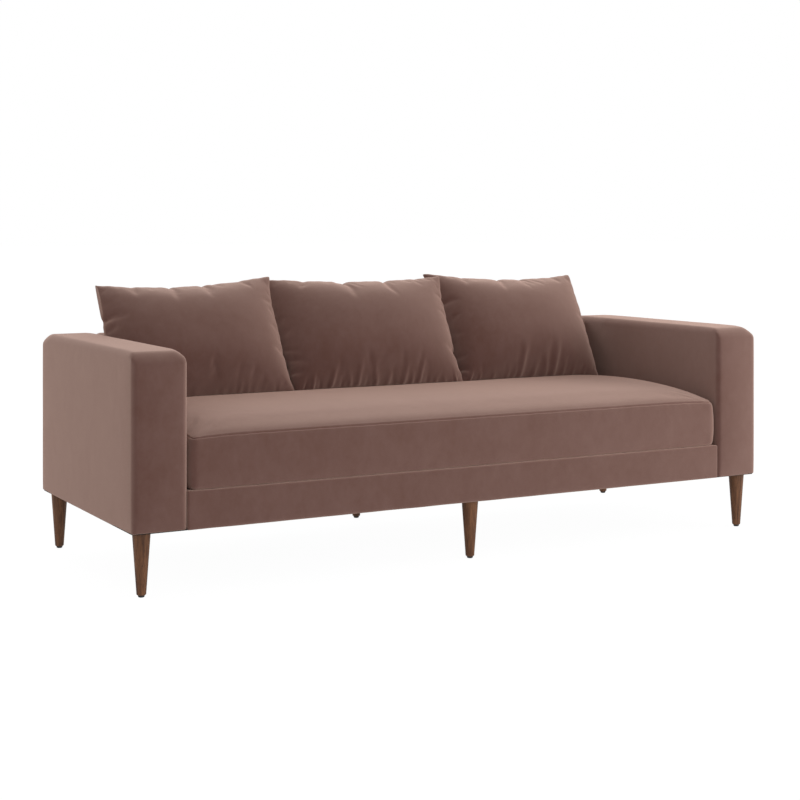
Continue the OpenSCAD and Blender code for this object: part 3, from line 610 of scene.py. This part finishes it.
def fill_out(piece, held, cap, slack, pressure=4.0):
    """Fills a cover like a stuffed one: the cloth simulation blows it up while its held points,
    the seams, stay. Each point moves at most about as far as its own cap. The cloth starts with
    that share of slack, which makes its gathers."""
    before = points_of(piece)
    seam = piece.vertex_groups.new(name="seam")
    seam.add([int(i) for i in held], 1.0, "REPLACE")
    cloth = piece.modifiers.new("fill", "CLOTH")
    settings = cloth.settings
    settings.quality = 5
    settings.mass = 0.3
    settings.tension_stiffness = settings.compression_stiffness = 15
    settings.shear_stiffness = 8
    settings.bending_stiffness = 1.0
    settings.vertex_group_mass = "seam"
    settings.shrink_min = -slack
    settings.use_pressure = True
    settings.uniform_pressure_force = pressure
    settings.effector_weights.gravity = 0
    cloth.collision_settings.use_collision = False
    cloth.point_cache.frame_start, cloth.point_cache.frame_end = 1, FILL_FRAMES
    scene = bpy.context.scene
    for step in range(1, FILL_FRAMES + 1):
        scene.frame_set(step)
    drawn = piece.evaluated_get(bpy.context.evaluated_depsgraph_get()).data
    after = np.empty(len(before) * 3)
    drawn.vertices.foreach_get("co", after)
    piece.modifiers.remove(cloth)
    piece.vertex_groups.remove(seam)
    scene.frame_set(1)
    move = after.reshape(-1, 3) - before
    far = np.linalg.norm(move, axis=1)
    capped = cap * np.tanh(far / np.maximum(cap, 1e-6))
    share = np.where(far > 0, capped / np.maximum(far, 1e-9), 0)
    set_points(piece, before + move * share[:, None])


def subdivide(piece):
    smooth = piece.modifiers.new("smooth", "SUBSURF")
    smooth.levels = smooth.render_levels = 1


# --- Arms, back and front rail ---------------------------------------------------------------

def padded_block(low, high, upright, top_x, top_y, foot):
    """An upholstered block's points and faces, its centre and its half size. upright gives an
    upright edge's radius from its sides in X and Y, -1 or 1. top_x holds the radii of the front
    and rear top edges, top_y gives that of the side ones from the side and from y, and foot is as
    FOOT_ROUND."""
    low, high = np.array(low), np.array(high)
    centre, half = (low + high) / 2, (high - low) / 2
    places = np.linspace(-half[1], half[1], 9)
    wide = [float(np.max(top_y(side, places))) for side in (-1, 1)]
    xs = grid_lines(-half[0], half[0], *wide)
    ys = grid_lines(-half[1], half[1], *top_x)
    zs = grid_lines(-half[2], half[2], foot[1], max(*wide, *top_x))
    points, faces = box_surface(xs, ys, zs)
    for side in (-1, 1):
        long, short = top_y(side, points[:, 1]), top_x[side > 0]
        round_edge(points, 0, 2, side, 1, half[0], half[2], long, long)
        round_edge(points, 1, 2, side, 1, half[1], half[2], short, short)
        round_edge(points, 0, 2, side, -1, half[0], half[2], *foot)
        round_edge(points, 1, 2, side, -1, half[1], half[2], *foot)
        for other in (-1, 1):
            turn = upright(side, other)
            round_edge(points, 0, 1, side, other, half[0], half[1], turn, turn)
    return points + centre, faces, centre, half


def same(radius):
    """Gives one radius everywhere."""
    return lambda side, at: radius + 0 * at


def swell(piece, centre, half, amounts, seed, wave=170 * MM, ripple=0.5 * MM, flat=6):
    """Lets the padding push each face out between its edges, and adds a slight unevenness."""
    share = (points_of(piece) - centre) / half
    facing = np.abs(normals_of(piece))
    facing[share[:, 2] < -0.9, 2] = 0
    fade = np.clip(1 - share ** flat, 0, 1)
    out = np.zeros(len(share))
    for axis in range(3):
        b, c = (axis + 1) % 3, (axis + 2) % 3
        out += amounts[axis] * facing[:, axis] ** 2 * fade[:, b] * fade[:, c]
    push(piece, out + ripple * soft_noise(points_of(piece), wave, seed))


def turn_under(piece):
    """Lets the velvet hang a little at the frame's outline."""
    points = points_of(piece)
    low, high = DUST_BOX
    outside = rim_distance(points[:, 0], points[:, 1], low, high) < 1 * MM
    lowest = points[:, 2] < points[:, 2].min() + 2 * MM
    points[lowest & outside, 2] -= FOOT_LIP
    set_points(piece, points)


def make_arm(side):
    low, high = ARM_BOX[side][0], ARM_BOX[side][1].copy()
    half_d = (high.y - low.y) / 2
    rounder = 0
    if side == "right":
        rounder = RIGHT_ARM_ROUNDER
        high.x += RIGHT_ARM_FULLER

    def long_round(edge, y):
        rear, along, front = ARM_LONG_ROUNDS[edge > 0]
        to_front = smooth_step((-y - half_d) / ARM_END_REACH + 1)
        to_rear = smooth_step((y - half_d) / ARM_END_REACH + 1)
        front += rounder * (edge > 0)
        return along + (front - along) * to_front + (rear - along) * to_rear

    def upright(edge, end):
        return ARM_RIGHT_UPRIGHT if edge > 0 > end else UPRIGHT_ROUND

    points, faces, centre, half = padded_block(low, high, upright, ARM_SHORT_ROUNDS, long_round,
        FOOT_ROUND)
    arm = add_piece(side + "_arm_velvet", points, faces, "velvet", "frame",
        side + "_arm_cover", side + "_arm_foam")
    swell(arm, centre, half, ARM_SWELL, seed=3 if side == "left" else 4, flat=12)
    soft, share = points_of(arm), (points - centre) / half
    front = np.maximum(0, -normals_of(arm)[:, 1]) ** 2
    soft[:, 1] -= ARM_FRONT_BELLY * front * (1 - share[:, 0] ** 2) * (1 - share[:, 2] ** 8)
    set_points(arm, soft)
    turn_under(arm)


def make_back():
    points, faces, centre, half = padded_block(*BACK_BOX, same(UPRIGHT_ROUND),
        (BACK_SHORT_ROUND,) * 2, same(BACK_SHORT_ROUND), FOOT_ROUND)
    back = add_piece("back_velvet", points, faces, "velvet", "frame", "back_cover", "back_foam")
    swell(back, centre, half, BACK_SWELL, seed=5, ripple=BACK_RIPPLE)
    turn_under(back)


def make_outside_back():
    """The rear panel, blind-stitched to the back along its edges."""
    low, high = OUTSIDE_BOX[0].copy(), OUTSIDE_BOX[1].copy()
    high.y += PANEL_OUT
    points, faces, centre, half = padded_block(low, high, same(PANEL_ROUND), (PANEL_EDGE,) * 2,
        same(PANEL_ROUND), (PANEL_EDGE,) * 2)
    panel = add_piece("outside_back_velvet", points, faces, "velvet", "frame",
        "outside_back_cover")
    rear = points_of(panel)
    share = (rear - centre) / half
    bulge = np.clip(1 - share[:, 0] ** 8, 0, 1) * np.clip(1 - share[:, 2] ** 6, 0, 1)
    out = PANEL_BULGE * bulge ** 0.5 + PANEL_RIPPLE * soft_noise(rear, PANEL_WAVE, 9) * bulge
    rear[:, 1] += np.where(share[:, 1] > 0, out, 0)
    set_points(panel, rear)


def make_front_rail():
    points, faces, centre, half = padded_block(*RAIL_BOX, same(RAIL_ROUND), (RAIL_ROUND,) * 2,
        same(RAIL_ROUND), FOOT_ROUND)
    rail = add_piece("front_rail_velvet", points, faces, "velvet", "frame",
        "front_rail_cover", "front_rail_foam")
    swell(rail, centre, half, RAIL_SWELL, seed=6, wave=RAIL_WAVE, ripple=RAIL_RIPPLE, flat=10)
    turn_under(rail)


for side in ("left", "right"):
    make_arm(side)
make_back()
make_outside_back()
make_front_rail()


# --- Deck and underside ----------------------------------------------------------------------

def make_sheet(name, xs, ys, top, thick, slot, *replaced):
    """A flat cloth of that thickness on grid lines, its upper face at height top(x, y)."""
    X, Y = np.meshgrid(xs, ys, indexing="ij")
    upper = np.stack([X, Y, top(X, Y)], -1)
    ids = np.arange(X.size).reshape(X.shape)
    ring = np.concatenate([ids[:, 0], ids[-1, 1:], ids[-2::-1, -1], ids[0, -2:0:-1]])
    after = np.roll(ring, -1)
    skirt = np.stack([ring + X.size, after + X.size, after, ring], -1)
    faces = np.concatenate([quads(ids), quads(ids + X.size)[:, ::-1], skirt])
    points = np.concatenate([upper.reshape(-1, 3), (upper - (0, 0, thick)).reshape(-1, 3)])
    return add_piece(name, points, faces, slot, "frame", *replaced)


def make_deck():
    points, faces, *_ = padded_block(*PAD_BOX, same(PAD_UPRIGHT), (PAD_TOP,) * 2, same(PAD_TOP),
        (PAD_FOOT,) * 2)
    pad = add_piece("deck_pad_wadding", points, faces, "foam", "frame", "deck_pad")
    low, high = DECK_BOX

    def height(x, y):
        rim = rim_distance(x, y, low, high) / DECK_TURN
        along = np.sin(pi * (y - low.y) / (high.y - low.y))
        spring = SPRING_RIPPLE * (1 + np.cos(x * 2 * pi / SPRING_PITCH)) * along
        return high.z - spring - DECK_EDGE_DROP * (1 - smooth_step(rim))

    xs, ys = (grid_lines(start, end, DECK_TURN, DECK_TURN, DECK_STEP, 3)
        for start, end in ((low.x, high.x), (low.y, high.y)))
    deck = make_sheet("deck_cloth_sheet", xs, ys, height, DECK_CLOTH_T, "deck_cloth",
        "deck_cloth")


def staple(at, along):
    """Points and faces of one wire staple under the dust cloth."""
    wire, reach = STAPLE_WIRE, STAPLE_REACH
    path = [(-reach, STAPLE_LEG), (-reach, -wire), (reach, -wire), (reach, STAPLE_LEG)]
    along, points, faces = np.array(along, float), [], []
    across = np.array([-along[1], along[0], 0])
    for k, (s, z) in enumerate(path):
        aslant = np.array([0, 0, 1]) + along * np.sign(s) if k in (1, 2) else along
        for turn in np.arange(6) * pi / 3:
            round_wire = wire * (np.cos(turn) * across + sin(turn) * aslant)
            points.append(np.array(at) + along * s + (0, 0, z) + round_wire)
    for k in range(3):
        for j in range(6):
            a, b = k * 6 + j, k * 6 + (j + 1) % 6
            faces.append((a, b, b + 6, a + 6))
    return points, faces


def staple_row(low, high):
    """The staples along the middle of the dust cloth's hem, as one piece."""
    all_points, all_faces = [], []
    inset = DUST_HEM / 2
    z = high.z - DUST_CLOTH_T - STAPLE_DROP
    spans = ((low.x, high.x), (low.y, high.y))
    for axis, (first, last) in enumerate(spans):
        count = round((last - first - 2 * inset) / STAPLE_PITCH)
        for place in np.linspace(first + 2 * inset, last - 2 * inset, count):
            for edge, inward in zip(spans[1 - axis], (1, -1)):
                at = [0, 0, z]
                at[axis], at[1 - axis] = place, edge + inward * inset
                new_points, new_faces = staple(at, (1, 0, 0) if axis == 0 else (0, 1, 0))
                all_faces += [tuple(i + len(all_points) for i in face) for face in new_faces]
                all_points += new_points
    return add_piece("dust_cloth_staples", all_points, all_faces, "staple_steel", "frame")


def make_dust_cloth():
    """Black cloth under the frame, its edges turned in and stapled."""
    low, high = DUST_BOX
    legs = [part["node"] for part in frame["record"]["subparts"] if part["node"].endswith("_leg")]
    feet = [sum(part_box(leg), Vector()) / 2 for leg in legs]

    def height(x, y):
        rim = rim_distance(x, y, low, high)
        hang = smooth_step((rim - DUST_HEM) / DUST_SAG_REACH)
        for foot in feet:
            from_leg = np.hypot(x - foot.x, y - foot.y) - LEG_CLEAR
            hang = hang * smooth_step(from_leg / LEG_REACH)
        beside_hem = np.exp(-((rim - PUCKER_AT) / PUCKER_REACH) ** 2)
        pucker = PUCKER * np.sin(x / PUCKER_PITCH) * beside_hem
        return high.z - 0.1 * MM - DUST_SAG * hang - pucker * (rim > DUST_HEM)

    xs, ys = (grid_lines(start, end, DUST_HEM, DUST_HEM, DUST_STEP, 3)
        for start, end in ((low.x, high.x), (low.y, high.y)))
    cloth = make_sheet("dust_cloth_sheet", xs, ys, height, DUST_CLOTH_T, "dust_cloth",
        "dust_cloth")
    points = points_of(cloth)
    rim = rim_distance(points[:, 0], points[:, 1], low, high)
    under = np.arange(len(points)) >= len(points) // 2
    points[under & (rim < DUST_HEM * 0.9), 2] -= DUST_HEM_T
    middle, half = (low + high) / 2, (high - low) / 2
    x, y = rounded_plan((points[:, 0] - middle.x) / half.x, (points[:, 1] - middle.y) / half.y,
        half.x, half.y, ARM_RIGHT_UPRIGHT)
    points[:, 0], points[:, 1] = x + middle.x, y + middle.y
    set_points(cloth, points)
    staples = staple_row(low, high)


make_deck()
make_dust_cloth()


# --- Seat cushion ----------------------------------------------------------------------------

def share_lines(cells, pull=0.7):
    """Grid places from -1 to 1, closer together near the seams."""
    t = np.linspace(-1, 1, cells + 1)
    return pull * np.sin(t * pi / 2) + (1 - pull) * t


def seam_lines(half, cells, pull):
    """The same with two more places beside each seam."""
    beside = 1 - np.array([1.5, 4]) * MM / half
    return np.unique(np.concatenate([share_lines(cells, pull), beside, -beside]))


def seam_wave(along, turn):
    """How a seam wanders in and out, from -1 to 1."""
    return np.sin(along / (9 * MM) + 2.1 * turn) * np.sin(along / (23 * MM) + turn)


def seat_crown(u, v):
    return np.maximum(0, 1 - np.abs(u) ** 14) ** 0.4 * np.sqrt(np.maximum(0, 1 - v * v))


def seat_top(x, y):
    """Height of the cushion's solid, on which the pillows' solids are placed."""
    crown = float(seat_crown(x / SEAT_HALF_W, (y - SEAT_CENTRE_Y) / SEAT_HALF_D))
    return SEAT_Z + SEAT_SEAM_H + SEAT_CROWN * crown


def corner_creases(x, y):
    """Height of the short creases that run in from the cushion's top corners."""
    height = np.zeros(x.shape)
    for k, (side_x, side_y) in enumerate(((-1, -1), (1, -1), (1, 1), (-1, 1))):
        dx = side_x * x - (SEAT_HALF_W - CREASE_CENTRE)
        dy = side_y * y - (SEAT_HALF_D - CREASE_CENTRE)
        far = np.hypot(dx, dy)
        fold = np.sin(CREASE_FOLDS * np.arctan2(dy, dx) + k * CREASE_PHASE + far / CREASE_TWIST)
        near = np.exp(-((far - CREASE_AT) / CREASE_REACH) ** 2)
        height += CREASE_RISE[side_x > 0] * fold * near
    return height


def make_seat_cushion():
    us, vs = (seam_lines(half, cells, pull)
        for half, cells, pull in zip((SEAT_HALF_W, SEAT_HALF_D), SEAT_CELLS, SEAT_PULL))
    nu, nv = len(us) - 1, len(vs) - 1
    U, V = np.meshgrid(us, vs, indexing="ij")
    roll_h, roll_end, roll_front = SEAT_SHOULDER
    x, y = rounded_plan(U, V, SEAT_HALF_W - roll_end, SEAT_HALF_D - roll_front, SEAT_CORNER)
    seam_h = SEAT_SEAM_H - SEAT_SEAM_DROP
    drop = SEAT_CORNER_DROP * (U * V) ** 12
    top = np.stack([x, y, seam_h + (SEAT_CROWN + SEAT_SEAM_DROP) * seat_crown(U, V) - drop], -1)
    top[..., 2] += corner_creases(x, y) * np.minimum(1, seat_crown(U, V) * 3)
    ring = np.array([(i, 0) for i in range(nu)] + [(nu, j) for j in range(nv)]
        + [(nu - i, nv) for i in range(nu)] + [(0, nv - j) for j in range(nv)])
    ri, rj = ring.T
    inner = SEAT_BOTTOM_INSET
    fx, fy = rounded_plan(U, V, SEAT_HALF_W - inner, SEAT_HALF_D - inner, SEAT_CORNER)
    foot = np.stack([fx, fy, 0 * fx], -1)
    rise = top[ri, rj, 2] + SEAT_SEAM_WAVE * seam_wave(x[ri, rj] + y[ri, rj], 2)
    heights = np.concatenate([SEAT_BOTTOM_ROUND * (1 - np.cos(np.arange(1, 5) * pi / 8)),
        np.linspace(SEAT_BOTTOM_ROUND, seam_h - roll_h, 9)[1:],
        seam_h - np.array(SHOULDER_ROWS_MM) * MM])
    belt = []
    for height in heights:
        t = height / seam_h
        under = max(0.0, 1 - height / SEAT_BOTTOM_ROUND)
        out = SEAT_SWELL * sin(pi * t) ** 0.5 - inner * (1 - (1 - under ** 2) ** 0.5)
        end = SEAT_END_SWELL * sin(pi * t ** 0.8) ** 0.6
        roll = 1 - (1 - max(0.0, 1 - (seam_h - height) / roll_h) ** 2) ** 0.5
        bx, by = rounded_plan(us[ri], vs[rj], SEAT_HALF_W + out + end - roll_end * roll,
            SEAT_HALF_D + out - roll_front * roll, SEAT_CORNER + out)
        belt.append(np.stack([bx, by, rise * t], -1))
    gx, gy = rounded_plan(us[ri], vs[rj], SEAT_HALF_W - roll_end - SEAM_GROOVE,
        SEAT_HALF_D - roll_front - SEAM_GROOVE, SEAT_CORNER)
    top[ri, rj] = np.stack([gx, gy, rise - 0.2 * MM], -1)
    ids = np.arange(top[..., 0].size).reshape(nu + 1, nv + 1)
    points = np.concatenate([top.reshape(-1, 3), foot.reshape(-1, 3), *belt])
    faces = [quads(ids), quads(ids + ids.size)[:, ::-1]]
    seam, around = ids[ri, rj], np.arange(len(ring))
    rows = [2 * ids.size + k * len(ring) + around for k in range(len(heights))]
    levels = [seam + ids.size, *rows, seam]
    for lower, upper in zip(levels, levels[1:]):
        faces.append(np.stack([lower, np.roll(lower, -1), np.roll(upper, -1), upper], -1))
    points = points + (0, SEAT_CENTRE_Y, SEAT_Z)
    cushion = add_piece("seat_cushion_velvet", points, np.concatenate(faces), "velvet",
        "seat_cushion", "seat_cushion_cover", "seat_cushion_core")
    ripple = SEAT_RIPPLE * soft_noise(points, SEAT_WAVE, 8)
    push(cushion, ripple * (points[:, 2] > SEAT_Z + 12 * MM))
    numbers = np.arange(len(points))
    lowest = numbers[points[:, 2] < SEAT_Z + SEAT_BOTTOM_ROUND]
    held = [seam, rows[-1], ids[1, :], ids[-2, :], ids[:, 1], ids[:, -2], lowest]
    cap = np.where(numbers < ids.size, *SEAT_CAPS)
    fill_out(cushion, np.unique(np.concatenate(held)), cap, 0.0, SEAT_PRESSURE)
    subdivide(cushion)
    return cushion


seat_cushion = make_seat_cushion()


# --- Back pillows ----------------------------------------------------------------------------

def arch(a):
    return np.maximum(0, 1 - np.abs(a) ** EDGE_POWER)


def pillow_share(u, v, fill=0):
    return (arch(u) * arch(v + BELLY_DROP * (1 - v * v))) ** (CROWN_POWER - fill * u * u * v * v)


def from_seams(u, v):
    """How far each place is from each seam."""
    return {"top": (1 - v) * PILLOW_H / 2, "bottom": (1 + v) * PILLOW_H / 2,
        "left": (1 + u) * PILLOW_W / 2, "right": (1 - u) * PILLOW_W / 2}


def pillow_form(p, u, v, rise, fill=0):
    """Points of pillow p before it is stood up: u across, v up, rise for the front or rear."""
    side = np.where(u > 0, PILLOW_SIDE[p][1], PILLOW_SIDE[p][0])
    foot = np.where(u > 0, PILLOW_FOOT[p][1], PILLOW_FOOT[p][0])
    pull = SIDE_DRAW * side * (1 - v ** 4) + FOOT_DRAW * foot * ((1 - v) / 2) ** 2
    across, up = rounded_plan(u, v, PILLOW_SPREAD[p] * PILLOW_W / 2, PILLOW_H / 2, EAR_ROUND)
    x = across - u * np.abs(u) * pull
    y = up - np.where(v > 0, TOP_DRAW, BOTTOM_DRAW) * v * np.abs(v) * (1 - u * u)
    for edge, at, depth, width in PINCHES[p]:
        along = (v - at) * PILLOW_H / 2 / (width * MM)
        near = np.exp(-along ** 2 - (1 - edge * u) * PILLOW_W / PINCH_REACH)
        x = x - edge * depth * MM * near
    for at, depth, width in NOTCHES[p]:
        along = (u - at) * PILLOW_W / 2 / (width * MM)
        near = np.exp(-along ** 2 - (1 - v) * PILLOW_H / NOTCH_REACH)
        y = y - depth * MM * near
    for edge, (aside, lift) in zip((-1, 1), EARS[p]):
        near = ((1 + edge * u) / 2) ** 4 * ((1 + v) / 2) ** 4
        x, y = x + aside * MM * near, y + lift * MM * near
    near_side = np.exp((np.abs(u) - 1) * PILLOW_W / WANDER_REACH)
    near_end = np.exp((np.abs(v) - 1) * PILLOW_H / WANDER_REACH)
    x = x + u * SEAM_WAVE * seam_wave(up, p) * near_side
    y = y + v * SEAM_WAVE * seam_wave(across, p + 3) * near_end
    return np.stack([x, y, rise * pillow_share(u, v, fill)], -1)


def gather_height(p, u, v):
    """Height of pillow p's gathers at each place."""
    seams = from_seams(u, v)
    height = np.zeros(u.shape)
    for seam, at, reach, lean, width, rise in GATHERS[p]:
        level = seam in ("top", "bottom")
        inwards = seams[seam] / (reach * MM)
        along = (u - at) * PILLOW_W / 2 if level else (v - at) * PILLOW_H / 2
        aside = (along - lean * MM * inwards) / (width * MM * (0.75 + 0.6 * np.clip(inwards, 0, 1)))
        height += rise * MM * (1 - 0.7 * aside ** 2) * np.exp(-aside ** 2) * (
            smooth_step(inwards * reach / 9) * (1 - smooth_step(inwards)))
    return height


def grid_normals(points):
    across, up = np.gradient(points, axis=0), np.gradient(points, axis=1)
    normal = np.cross(across, up)
    return normal / np.maximum(np.linalg.norm(normal, axis=-1, keepdims=True), 1e-9)


def pillow_place(p):
    """Stands pillow p on the seat, leaning on the back."""
    x = PILLOW_X[p] * BAY_HALF_W
    y = BACK_FACE_Y - FOOT_SETBACK - PILLOW_FORWARD[p] * PILLOW_FRONT
    z = seat_top(x, y) + PILLOW_LIFT - PILLOW_SINK[p] * SEAT_CROWN
    return (Matrix.Translation((x, y, z))
        @ Matrix.Rotation(radians(PILLOW_YAW[p]), 4, "Z")
        @ Matrix.Rotation(radians(90 - PILLOW_LEAN), 4, "X")
        @ Matrix.Rotation(radians(PILLOW_ROLL[p]), 4, "Z")
        @ Matrix.Translation((0, PILLOW_H / 2, 0)))


def rest_on_seat(points, tree):
    """Lets a pillow's foot sag onto the seat cushion."""
    for point in points:
        if point[2] > SEAT_BOX[1].z + SAG_TOP:
            continue
        hit = tree.ray_cast(Vector((point[0], point[1], 1)), Vector((0, 0, -1)))[0]
        if hit is not None:
            h = max(point[2] - hit.z, 0)
            h -= FOOT_SAG * (1 - np.exp(-h / SAG_START)) * np.exp(-(h / SAG_REACH) ** 2)
            point[2] = hit.z + max(h, 0) + SEAT_GAP * np.exp(-max(h, 0) / SEAT_GAP_FADE)


def make_pillow(p, tree):
    nu, nv = PILLOW_CELLS
    U, V = np.meshgrid(share_lines(nu), share_lines(nv), indexing="ij")
    seams = from_seams(U, V)
    nearest = np.minimum.reduce(list(seams.values()))
    height = gather_height(p, U, V)
    front = pillow_form(p, U, V, PILLOW_FRONT, CORNER_FILL)
    front += grid_normals(front) * height[..., None]
    rear = pillow_form(p, U, V, -PILLOW_REAR)
    rear -= grid_normals(rear) * np.minimum(0.5 * height, REAR_GATHER)[..., None]
    ids = np.arange(U.size).reshape(U.shape)
    rear_ids = ids.copy()
    rear_ids[1:-1, 1:-1] = ids.size + np.arange((nu - 1) * (nv - 1)).reshape(nu - 1, nv - 1)
    points = np.concatenate([front.reshape(-1, 3), rear[1:-1, 1:-1].reshape(-1, 3)])
    place = np.array(pillow_place(p))
    points = points @ place[:3, :3].T + place[:3, 3]
    faces = np.concatenate([quads(ids), quads(rear_ids)[:, ::-1]])
    name = PILLOW_NAMES[p] + "_pillow"
    pillow = add_piece(name + "_velvet", points, faces, "velvet", name, name + "_cover",
        name + "_insert")
    freedom = smooth_step(nearest / FILL_REACH)
    front_cap, rear_cap = PILLOW_CAPS[0] * freedom, PILLOW_CAPS[1] * freedom
    cap = np.concatenate([front_cap.ravel(), rear_cap[1:-1, 1:-1].ravel()])
    held = np.unique(np.concatenate([ids[0], ids[-1], ids[:, 0], ids[:, -1]]))
    fill_out(pillow, held, cap, PILLOW_SLACK)
    points = points_of(pillow)
    rest_on_seat(points, tree)
    points[:, 0] = np.clip(points[:, 0], ARM_GAP - BAY_HALF_W, BAY_HALF_W - ARM_GAP)
    set_points(pillow, points)
    subdivide(pillow)


seat_tree = BVHTree.FromObject(seat_cushion, bpy.context.evaluated_depsgraph_get())
for p in range(3):
    make_pillow(p, seat_tree)


# --- Stage, light and camera -----------------------------------------------------------------

def make_floor():
    mesh = bpy.data.meshes.new("floor")
    reach, cells = 60.0, 8
    lines = np.linspace(-reach, reach, cells + 1)
    points = [(x, y, 0.0) for x in lines for y in lines]
    row = cells + 1
    faces = [(i * row + j, (i + 1) * row + j, (i + 1) * row + j + 1, i * row + j + 1)
        for i in range(cells) for j in range(cells)]
    mesh.from_pydata(points, [], faces)
    floor = bpy.data.objects.new("floor", mesh)
    bpy.context.scene.collection.objects.link(floor)
    floor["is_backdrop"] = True
    n = Nodes("floor")
    n.finish(Base_Color=FLOOR_COLOUR, Roughness=1.0, Specular_IOR_Level=0.0)
    glow = n.add("ShaderNodeEmission", {"Color": (1, 1, 1, 1), "Strength": FLOOR_GLOW})
    seen = n.add("ShaderNodeLightPath").outputs["Is Camera Ray"]
    share = n.math("ADD", n.math("MULTIPLY", seen, SEEN_SHARE), GLOW_SHARE)
    mixed = n.add("ShaderNodeMixShader", {0: share, 1: n.shader.outputs[0], 2: glow.outputs[0]})
    n.tree.links.new(mixed.outputs[0], n.output.inputs["Surface"])
    mesh.materials.append(n.material)


def make_world():
    """White where the camera looks and in reflections, a soft dome for every other ray."""
    world = bpy.data.worlds.new("studio")
    bpy.context.scene.world = world
    world.use_nodes = True
    tree = world.node_tree
    tree.nodes.clear()
    add = tree.nodes.new
    path = add("ShaderNodeLightPath")
    seen = add("ShaderNodeMath")
    seen.operation = "MAXIMUM"
    tree.links.new(path.outputs["Is Camera Ray"], seen.inputs[0])
    tree.links.new(path.outputs["Is Glossy Ray"], seen.inputs[1])
    white, dome = add("ShaderNodeBackground"), add("ShaderNodeBackground")
    mixed, out = add("ShaderNodeMixShader"), add("ShaderNodeOutputWorld")
    white.inputs["Color"].default_value = (1, 1, 1, 1)
    dome.inputs["Color"].default_value = DOME_COLOUR
    dome.inputs["Strength"].default_value = DOME_STRENGTH
    tree.links.new(seen.outputs[0], mixed.inputs[0])
    tree.links.new(dome.outputs[0], mixed.inputs[1])
    tree.links.new(white.outputs[0], mixed.inputs[2])
    tree.links.new(mixed.outputs[0], out.inputs["Surface"])


def make_lamp(name, place, size, power, colour):
    lamp = bpy.data.lights.new(name, "AREA")
    lamp.color = colour
    lamp.shape = "RECTANGLE"
    lamp.size, lamp.size_y = size
    lamp.energy = power
    holder = bpy.data.objects.new(name, lamp)
    holder.location = place
    aim = Vector(LAMP_TARGET) - Vector(place)
    holder.rotation_euler = aim.to_track_quat("-Z", "Y").to_euler()
    bpy.context.scene.collection.objects.link(holder)


def make_camera():
    data = bpy.data.cameras.new("camera")
    data.lens, data.sensor_width = CAMERA_LENS, SENSOR_W
    data.shift_y = CAMERA_SHIFT
    camera = bpy.data.objects.new("camera", data)
    camera.location = CAMERA_AT
    camera.rotation_euler = (radians(90), 0, radians(CAMERA_YAW))
    bpy.context.scene.collection.objects.link(camera)
    bpy.context.scene.camera = camera


make_floor()
make_world()
for lamp in LAMPS:
    make_lamp(*lamp)
make_camera()
bpy.context.scene.view_settings.view_transform = "Standard"

boxes = {"cad": cad_bounds, "visual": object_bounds()}
{k: [[float(x) for x in corner] for corner in v] for k, v in boxes.items()}
